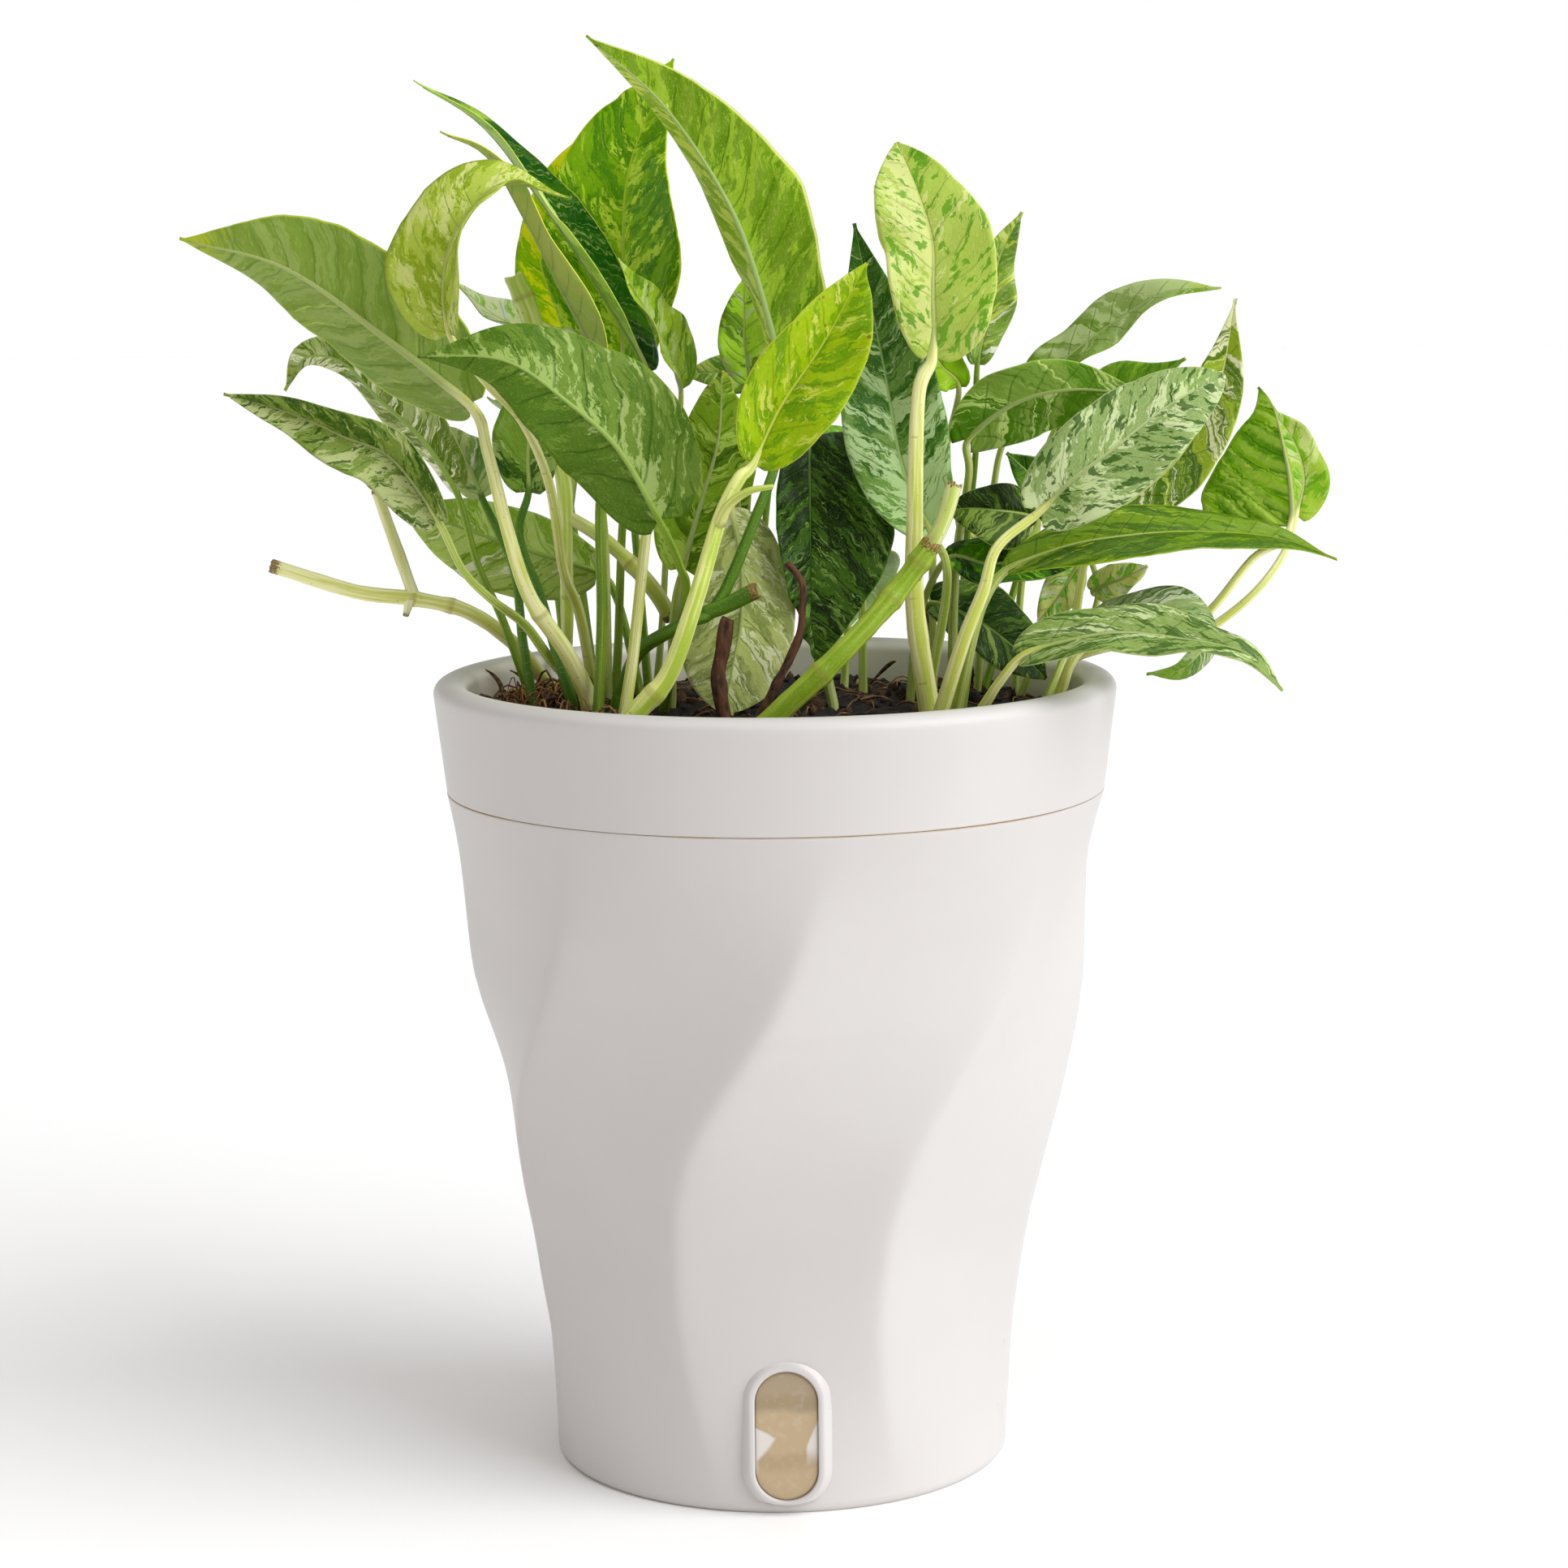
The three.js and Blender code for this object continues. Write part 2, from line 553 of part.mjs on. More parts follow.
// The same surface as a solid that can be cut and joined.
function solidOf(geometry) {
  const plain = geometry.clone();
  plain.deleteAttribute("normal");
  plain.deleteAttribute("uv");
  const merged = mergeVertices(plain, 1e-3);
  const triVerts = [];
  const index = merged.index.array;
  for (let i = 0; i < index.length; i += 3) {
    const [a, b, c] = index.subarray(i, i + 3);
    if (a !== b && b !== c && c !== a) triVerts.push(a, b, c);
  }
  const vertProperties = new Float32Array(merged.attributes.position.array);
  const mesh = new wasm.Mesh({ numProp: 3, vertProperties, triVerts: new Uint32Array(triVerts) });
  return new wasm.Manifold(mesh);
}

function meshOf(name, solid, look) {
  const { vertProperties, triVerts } = solid.getMesh();
  const geometry = new THREE.BufferGeometry();
  geometry.setAttribute("position", new THREE.BufferAttribute(new Float32Array(vertProperties), 3));
  geometry.setIndex(new THREE.BufferAttribute(new Uint32Array(triVerts), 1));
  geometry.computeVertexNormals();
  const [color, roughness] = LOOKS[look];
  const material = new THREE.MeshStandardMaterial({ color, roughness, metalness: 0 });
  const mesh = new THREE.Mesh(geometry, material);
  mesh.name = name;
  return mesh;
}

// A ring of points round a round stem, in the order that skin wants.
function roundSection(centre, side, up, radius, columns) {
  const ring = [];
  const step = Math.PI / (columns + 1);
  for (const face of [1, -1]) {
    for (let j = 0; j <= columns; j++) {
      const column = face > 0 ? j : columns - j;
      const angle = face * (Math.PI - step * (column + 0.5));
      const point = centre.clone().addScaledVector(side, radius * Math.cos(angle));
      ring.push(point.addScaledVector(up, radius * Math.sin(angle)));
    }
  }
  return ring;
}

// The half-width at t along the midrib, as a share of the widest: a quarter ellipse up to the belly, then a
// cosine that is drawn out to the tip.
function outline(t, belly, point) {
  if (t < belly) return Math.sqrt(1 - (1 - t / belly) ** 2);
  return Math.cos((Math.PI / 2) * ((t - belly) / (1 - belly))) ** point;
}

// The frame of a blade at a point of its midrib: its upper side is turned by roll from VIEW_SIDE or SKY_SIDE.
function bladeFrame(leaf, tangent) {
  const toward = vector(leaf.sky ? SKY_SIDE : VIEW_SIDE);
  const up = toward.addScaledVector(tangent, -toward.dot(tangent)).normalize();
  up.applyAxisAngle(tangent, THREE.MathUtils.degToRad(leaf.roll));
  return { up, side: tangent.clone().cross(up) };
}

// A cross-section of the blade: two halves that rise from the midrib by the fold, with a waved margin and
// base lobes that reach back along the midrib.
function bladeSection(leaf, order, t, centre, tangent, columns) {
  const { up, side } = bladeFrame(leaf, tangent);
  const fold = THREE.MathUtils.degToRad(leaf.fold);
  const top = [];
  const bottom = [];
  for (let j = 0; j <= columns; j++) {
    const s = (2 * j) / columns - 1;
    const belly = leaf.bellies[s < 0 ? 0 : 1];
    const share = outline(t, belly, leaf.point);
    const back = leaf.lobe * Math.max(0, 1 - t / belly) ** 2 * Math.sqrt(share);
    const width = Math.max(leaf.halves[s < 0 ? 0 : 1] * share, TIP_WIDTH);
    const ripple = WAVE * share * s * s * Math.sin(WAVES * 2 * Math.PI * t + order + 2 * s);
    const point = centre.clone().addScaledVector(side, s * width * Math.cos(fold));
    point.addScaledVector(up, Math.abs(s) * width * Math.sin(fold) + ripple);
    point.addScaledVector(tangent, -back * s * s);
    const half = BLADE_THICKNESS / 2 / Math.cos(fold);
    top.push(point.clone().addScaledVector(up, half));
    bottom.unshift(point.clone().addScaledVector(up, -half));
  }
  return [...top, ...bottom];
}

// One leaf: a round petiole that widens into the blade, as one closed surface. The petiole has a ring at each
// of its points and halfway along its long stretches, and the blade's rows lie closer at its base and tip.
function leafSolid(leaf, order) {
  const columns = leaf.halves[0] + leaf.halves[1] > WIDE_LEAF ? 4 : 2;
  const petiole = leaf.petiole ? [rootPoint(leaf.petiole, leaf.midrib[0]), ...leaf.petiole] : [];
  const points = [...petiole, ...leaf.midrib];
  const curve = curveThrough(points);
  const stretches = points.length - 1;
  const base = petiole.length / stretches;
  const places = [];
  for (let k = 0; k < petiole.length; k++) {
    places.push(k / stretches);
    const length = vector(points[k]).distanceTo(vector(points[k + 1]));
    if (length > PETIOLE_STEP) places.push((k + 0.5) / stretches);
  }
  if (leaf.petiole) places.push(base);
  const { up } = bladeFrame(leaf, curve.getTangent(base));
  const rings = [];
  for (const place of places.reverse()) {
    const tangent = curve.getTangent(place);
    up.addScaledVector(tangent, -up.dot(tangent)).normalize();
    const radius = THREE.MathUtils.lerp(leaf.stalk[0], leaf.stalk[1], place / base);
    rings.unshift(roundSection(curve.getPoint(place), tangent.cross(up), up, radius, columns));
  }
  const lengths = curve.getLengths(STEPS * stretches);
  const start = lengths[STEPS * petiole.length] / lengths[STEPS * stretches];
  for (let i = leaf.petiole ? 1 : 0; i <= BLADE_ROWS; i++) {
    const t = Math.sin((Math.PI * i) / BLADE_ROWS / 2) ** 2;
    const u = THREE.MathUtils.lerp(start, 1, t);
    rings.push(bladeSection(leaf, order, t, curve.getPointAt(u), curve.getTangentAt(u), columns));
  }
  return solidOf(skin(rings));
}

// The lower end of a petiole or stem, straight on from its first stretch down into the soil.
function rootPoint(points, next) {
  const start = vector(points[0]);
  const along = start.clone().sub(vector(points[1] ?? next)).normalize();
  return start.addScaledVector(along, (start.z - ROOT_LOW) / -along.z).toArray();
}

// A round rod along a curve, with radii at its two ends.
function rodSolid(points, radii) {
  const curve = curveThrough(points);
  const rows = Math.max(4, Math.round(curve.getLength() / ROD_STEP));
  const rings = [];
  const up = vector(VIEW_SIDE);
  for (let i = 0; i <= rows; i++) {
    const tangent = curve.getTangentAt(i / rows);
    up.addScaledVector(tangent, -up.dot(tangent)).normalize();
    const radius = THREE.MathUtils.lerp(radii[0], radii[1], i / rows);
    rings.push(roundSection(curve.getPointAt(i / rows), tangent.cross(up), up, radius, 3));
  }
  return solidOf(skin(rings));
}

// A straight hole in the soil round the lower end of a petiole or stem.
function soilHole(points, next, radius) {
  const root = vector(rootPoint(points, next));
  const along = vector(points[1] ?? next).sub(vector(points[0])).normalize();
  const low = root.clone().addScaledVector(along, -ROOT_CLEARANCE);
  const length = (RIM_HEIGHT - low.z) / along.z;
  const prism = new THREE.CylinderGeometry(1, 1, length, HOLE_SIDES);
  const wide = (radius + HOLE_CLEARANCE) / Math.cos(Math.PI / HOLE_SIDES);
  prism.scale(wide, 1, wide);
  prism.translate(0, length / 2, 0);
  prism.applyQuaternion(new THREE.Quaternion().setFromUnitVectors(new THREE.Vector3(0, 1, 0), along));
  prism.translate(low.x, low.y, low.z);
  return solidOf(prism);
}

// The twisted body: rings of flattened facets outside, round rings inside, and a floor.
function bodySolid() {
  const count = FACETS * STEPS_PER_FACET;
  const points = [new THREE.Vector3(0, 0, 0)];
  const facet = (2 * Math.PI) / FACETS;
  const flat = Math.cos(facet / 2);
  for (const [z, corner, crease, flatness] of BODY) {
    for (let k = 0; k < count; k++) {
      const inFacet = ((k % STEPS_PER_FACET) / STEPS_PER_FACET - 0.5) * facet;
      const radius = corner * (1 - flatness * (1 - flat / Math.cos(inFacet)));
      const azimuth = THREE.MathUtils.degToRad(crease) + (k / count) * 2 * Math.PI;
      points.push(new THREE.Vector3(radius * Math.sin(azimuth), -radius * Math.cos(azimuth), z));
    }
  }
  for (const [radius, z] of BODY_CAVITY) {
    for (let k = 0; k < count; k++) {
      const azimuth = THREE.MathUtils.degToRad(BODY[BODY.length - 1][2]) + (k / count) * 2 * Math.PI;
      points.push(new THREE.Vector3(radius * Math.sin(azimuth), -radius * Math.cos(azimuth), z));
    }
  }
  points.push(new THREE.Vector3(0, 0, BODY_CAVITY[BODY_CAVITY.length - 1][1]));
  const rings = BODY.length + BODY_CAVITY.length;
  const index = [];
  for (let k = 0; k < count; k++) {
    const next = (k + 1) % count;
    index.push(0, 1 + next, 1 + k);
    for (let i = 0; i + 1 < rings; i++) {
      const a = 1 + i * count + k;
      const b = 1 + i * count + next;
      index.push(a, b, b + count, a, b + count, a + count);
    }
    const top = 1 + (rings - 1) * count;
    index.push(top + k, top + next, points.length - 1);
  }
  return solidOf(indexed(points, index));
}

// An upright oblong with round ends in the window's place, from one distance in front of the axis to
// another, and leaning back by the window's tilt.
function oblong(width, low, high, back, front, bevel) {
  const radius = width / 2;
  const shape = new THREE.Shape();
  shape.absarc(0, high - radius, radius, 0, Math.PI);
  shape.absarc(0, low + radius, radius, Math.PI, 2 * Math.PI);
  const geometry = new THREE.ExtrudeGeometry(shape, {
    depth: front - back - 2 * bevel,
    curveSegments: 8,
    bevelEnabled: bevel > 0,
    bevelSize: bevel,
    bevelThickness: bevel,
    bevelOffset: -bevel,
    bevelSegments: 2,
  });
  const middle = (WINDOW_LOW + WINDOW_HIGH) / 2;
  geometry.rotateX(Math.PI / 2);
  geometry.translate(0, BEZEL_FRONT - back - bevel, -middle);
  geometry.rotateX(THREE.MathUtils.degToRad(BEZEL_TILT));
  geometry.translate(WINDOW_X, -BEZEL_FRONT, middle);
  return solidOf(geometry);
}

function lathe(profile) {
  const geometry = new THREE.LatheGeometry(
    profile.map(([radius, z]) => new THREE.Vector2(radius, z)),
    TURNS,
  );
  geometry.rotateX(Math.PI / 2);
  return solidOf(geometry);
}

function outerPot() {
  const width = WINDOW_WIDTH + 2 * BEZEL_WIDTH;
  const low = WINDOW_LOW - BEZEL_WIDTH;
  const high = WINDOW_HIGH + BEZEL_WIDTH;
  const bezel = oblong(width, low, high, BEZEL_FRONT - BEZEL_DEPTH, BEZEL_FRONT, BEZEL_ROUNDING);
  const inside = BEZEL_FRONT - 3 * BEZEL_DEPTH;
  const hole = oblong(WINDOW_WIDTH, WINDOW_LOW, WINDOW_HIGH, inside, BEZEL_FRONT + BEZEL_DEPTH, 0);
  return bodySolid().add(bezel).subtract(hole);
}

function pane() {
  const front = BEZEL_FRONT - PANE_RECESS;
  const width = WINDOW_WIDTH - 2 * GAP;
  return oblong(width, WINDOW_LOW + GAP, WINDOW_HIGH - GAP, front - PANE_THICKNESS, front, 0);
}

// A leaf with what has grown together with it: a second blade on its petiole, or a cut stub or sheath.
function wholeLeaf(leaf, order) {
  let solid = leafSolid(leaf, order);
  if (leaf.twin) solid = solid.add(leafSolid(leaf.twin, order));
  if (leaf.spur) solid = solid.add(rodSolid(leaf.spur.points, leaf.spur.radii));
  return solid;
}

function stemSolid({ rods, radii }) {
  let solid = rodSolid([rootPoint(rods[0]), ...rods[0]], radii[0]);
  rods.slice(1).forEach((rod, k) => {
    solid = solid.add(rodSolid(rod, radii[k + 1]));
  });
  return solid;
}

const plant = new THREE.Group();
let soil = lathe(SOIL);

Object.entries(LEAVES).forEach(([name, leaf], order) => {
  plant.add(meshOf("leaf_" + name, wholeLeaf(leaf, order), leaf.look));
  soil = soil.subtract(soilHole(leaf.petiole, leaf.midrib[0], leaf.stalk[0]));
});

for (const [name, stem] of Object.entries(STEMS)) {
  plant.add(meshOf(name, stemSolid(stem), stem.look));
  soil = soil.subtract(soilHole(stem.rods[0], null, stem.radii[0][0]));
}

plant.add(meshOf("outer_pot", outerPot(), "white_plastic"));
plant.add(meshOf("water_window", pane(), "tinted_pane"));
plant.add(meshOf("planter", lathe(PLANTER), "white_plastic"));
plant.add(meshOf("soil", soil, "soil"));

export default plant;
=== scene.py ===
"""A marble-leaved vining house plant in a white self-watering pot with a twisted, faceted body."""

import math

import bpy
import numpy as np
from mathutils import Matrix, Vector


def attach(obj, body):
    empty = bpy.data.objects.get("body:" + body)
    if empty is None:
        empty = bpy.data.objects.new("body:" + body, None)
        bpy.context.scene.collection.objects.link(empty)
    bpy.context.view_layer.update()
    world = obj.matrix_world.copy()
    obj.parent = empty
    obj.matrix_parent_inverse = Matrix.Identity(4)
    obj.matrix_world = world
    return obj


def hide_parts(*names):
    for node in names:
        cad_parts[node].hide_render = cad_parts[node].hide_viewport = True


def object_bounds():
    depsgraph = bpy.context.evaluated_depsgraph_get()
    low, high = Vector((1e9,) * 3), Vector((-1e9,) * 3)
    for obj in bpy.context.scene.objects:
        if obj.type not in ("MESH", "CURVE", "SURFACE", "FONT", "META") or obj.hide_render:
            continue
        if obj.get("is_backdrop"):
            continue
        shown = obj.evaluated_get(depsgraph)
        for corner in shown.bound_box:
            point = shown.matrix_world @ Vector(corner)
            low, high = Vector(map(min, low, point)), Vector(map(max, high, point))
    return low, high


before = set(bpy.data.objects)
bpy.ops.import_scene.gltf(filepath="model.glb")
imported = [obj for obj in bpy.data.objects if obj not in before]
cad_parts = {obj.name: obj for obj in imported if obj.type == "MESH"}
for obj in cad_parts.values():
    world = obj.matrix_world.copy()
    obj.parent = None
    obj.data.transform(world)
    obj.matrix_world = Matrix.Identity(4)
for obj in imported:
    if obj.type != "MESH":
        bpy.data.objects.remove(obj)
cad_box = [list(corner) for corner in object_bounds()]

MM = 0.001

# Camera: where it stands, its lens, how far it looks down and how far it leans, from the photograph.
CAMERA_PLACE = (0.0018, -0.8295, 0.2794)
CAMERA_LENS = 87.11
CAMERA_PITCH = 0.1543
CAMERA_LEAN = 0.0091
CAMERA_SENSOR = 36.0

# Room: the floor's reach in metres, the key light's direction, strength, softness in degrees and tone, and
# the sky's light along the horizon, between and overhead.
FLOOR_REACH = 6.0
KEY_PLACE = (1.5, -0.75, 1.15)
KEY_STRENGTH = 2.75
KEY_SOFTNESS = 55
KEY_TONE = (0.935, 0.975, 1.0)
SKY_HORIZON = (1, 1, 1, 1)
SKY_BETWEEN = (0.09, 0.075, 0.07, 1)
SKY_OVERHEAD = (1.12, 1.12, 1.12, 1)

# Outer pot: height, radius at the creases, azimuth of one crease in degrees, and how flat the facets are.
FACETS = 8
BODY = np.array([
    [0, 49.6, -14.8, 0],
    [1.2, 50.8, -15, 0.05],
    [5, 51.3, -15.5, 0.15],
    [17, 52.8, -18.8, 0.4],
    [30, 54.5, -21.4, 0.62],
    [42, 56.6, -22.6, 0.8],
    [54, 58.7, -22.3, 0.95],
    [66, 61.3, -21.2, 0.97],
    [80, 64.2, -17.6, 0.96],
    [92, 66.3, -11.6, 0.98],
    [105, 68.3, -4.4, 1],
    [113, 69.1, -0.3, 0.98],
    [122, 69.5, 3, 0.83],
    [132, 70, 5.6, 0.5],
    [140, 70.8, 7.6, 0.24],
    [150.2, 72.5, 11, 0],
])
CREASE_SOFTNESS = 1.7
BODY_COLUMNS = 384
BODY_HEIGHTS = np.concatenate([[0.0, 0.25, 0.7], np.linspace(1.3, 149.7, 144), [150.1, 150.35, 150.47]])

# The body's top edge is drawn in by its dip over the last stretch. Its inside is given as radius and height.
BODY_TOP_START = 149.8
BODY_TOP_RISE = 0.67
BODY_TOP_DIP = 0.1
BODY_CAVITY = [
    [71.2, 150.2], [70.2, 149.6], [68.2, 144], [64, 131],
    [60.3, 105], [57.3, 80], [52.9, 54], [48.6, 17],
]

# Water window: an upright oblong pane in a raised ring on the front of the foot.
WINDOW_X = 1.1
WINDOW_LOW = 3.5
WINDOW_HIGH = 32.2
WINDOW_WIDTH = 13.5
BEZEL_WIDTH = 3.2
BEZEL_FRONT = 53.2
BEZEL_TILT = 1.2
BEZEL_TUCK = 1.2
BEZEL_PLACES = 144
PANE_THICKNESS = 1.6
PANE_RECESS = 0.8
PANE_GAP = 0.03
PANE_PLACES = 96

# Behind the window the body is pressed in: how deep, from how far outside the oblong, and over what width.
PRESS_DEPTH = 3.4
PRESS_START = 1.4
PRESS_SLOPE = 1.2

# Planter: its collar sits on the outer pot's rim, and its bowl holds the soil. Its section is given as
# radius and height, up the outside of the foot and bowl, round the collar's lower edge, and down the inside.
RIM_RADIUS = 75.0
RIM_HEIGHT = 175.0
RIM_DROP = 3
RIM_ROUND = 3.7
COLLAR_LOW = 150.5
COLLAR_RADIUS = 72.5
WALL_LOW = 151
PLANTER_COLUMNS = 256
PLANTER_OUTSIDE = [
    [0, 4], [18, 4], [18.6, 42], [46, 42], [52, 54],
    [56.6, 80], [59.6, 105], [63.2, 131], [67.4, 144],
]
COLLAR_EDGE = [
    [69.5, COLLAR_LOW], [72.2, COLLAR_LOW], [72.4, 150.57], [72.48, 150.72], [COLLAR_RADIUS, WALL_LOW],
]
PLANTER_INSIDE = [
    [67.5, 168], [67.3, 160], [67.2, COLLAR_LOW], [65.3, 144], [61.2, 131], [57.6, 105],
    [54.6, 80], [50, 54], [44.6, 44], [16.6, 44], [16, 6], [0, 6],
]
SEAM_HEIGHT = 150.47

# Soil: its section up the bowl's wall, its level, and the heap at the left with its place and spread.
SOIL_HEIGHT = 166.0
SOIL_RADIUS = 67.0
SOIL_COLUMNS = 320
SOIL_RINGS = 84
SOIL_SIDE = [
    [0.5, 6.4], [15.6, 6.4], [16.2, 44.4], [44.2, 44.4], [49.6, 54], [54.2, 80],
    [57.2, 105], [60.8, 131], [64.9, 144], [66.8, 150.5], [SOIL_RADIUS, 160],
]
HEAP_HEIGHT = 3.2
HEAP_X = -49
HEAP_Y = 4
HEAP_SPREAD = 170

# What lies on the soil: how many pieces of each and how far from the axis they reach.
CRUMBS = 620
CRUMB_ROWS = 5
CRUMB_COLUMNS = 7
CRUMB_REACH = 66
CRUMB_LIMIT = 66.6
FIBRES = 520
FIBRE_POINTS = 8
FIBRE_LIMIT = 66.3

# Dark twigs that stand out of the soil: both ends and the radius, and how far a twig bows.
TWIGS = [
    [[-60, 2, 166], [-64, 4, 176], 0.55],
    [[-55, 12, 166], [-59, 10, 175], 0.5],
    [[-50, -4, 167], [-42, 2, 174], 0.7],
    [[-57, -10, 166], [-47, -14, 172], 0.6],
    [[-44, 10, 167], [-38, 4, 175], 0.6],
    [[-62, 8, 167], [-52, 16, 171], 0.5],
    [[-16, -50, 166], [-19, -52, 171], 0.5],
    [[-22, -44, 166], [-14, -46, 173], 0.5],
    [[44, 20, 166], [42, 18, 177], 0.7],
    [[34, -30, 166], [42, -24, 170], 0.55],
    [[2, 38, 166], [-6, 42, 171], 0.6],
    [[22, 50, 166], [28, 44, 172], 0.5],
]
TWIG_BOW = np.array([1.2, 0.8, 1.6])

# Leaves: the usual steps of a blade's grid, half its thickness, and the heights of its waves, frill,
# puckers and the groove over its midrib.
BLADE_ROW = 1.15
BLADE_COLUMN = 1.05
HALF_THICKNESS = 0.26
WAVE = 0.9
WAVES = 2.2
FRILL = 0.35
PUCKER = 0.28
RIB_GROOVE = 0.35
NARROWEST = 0.45

# Petioles and cut stems: where they start under the soil, the steps of their tubes, and their swellings.
ROOT_LOW = 161.0
STALK_STEP = 1.6
STALK_SIDES = 12
MIDRIB_END = 0.97
MIDRIB_PLACES = 26
KNEE_BACK = 4
KNEE_SWELL = 0.1
NODE_SWELL = 0.16
ROD_STEP = 1.2
ROD_SIDES = 16
ROD_NODE_SWELL = 0.18

# Directions that the leaves' upper sides look to.
VIEW_SIDE = (0, -0.97, 0.25)
SKY_SIDE = (0, 0, 1)

# The pane's tones: above the darker line, below it, the line and the band at the bottom, and the milky parts.
PANE_ABOVE = "#a38f72"
PANE_BELOW = "#b79f7b"
PANE_DARK = "#96805b"
PANE_MILKY = "#dad5cf"

LEAF_USUAL = dict(
    roll=0, fold=10, bellies=[0.4, 0.4], point=1, lobe=2, stalk=[1.2, 1], spacing=6.0, quilt=0.16,
)

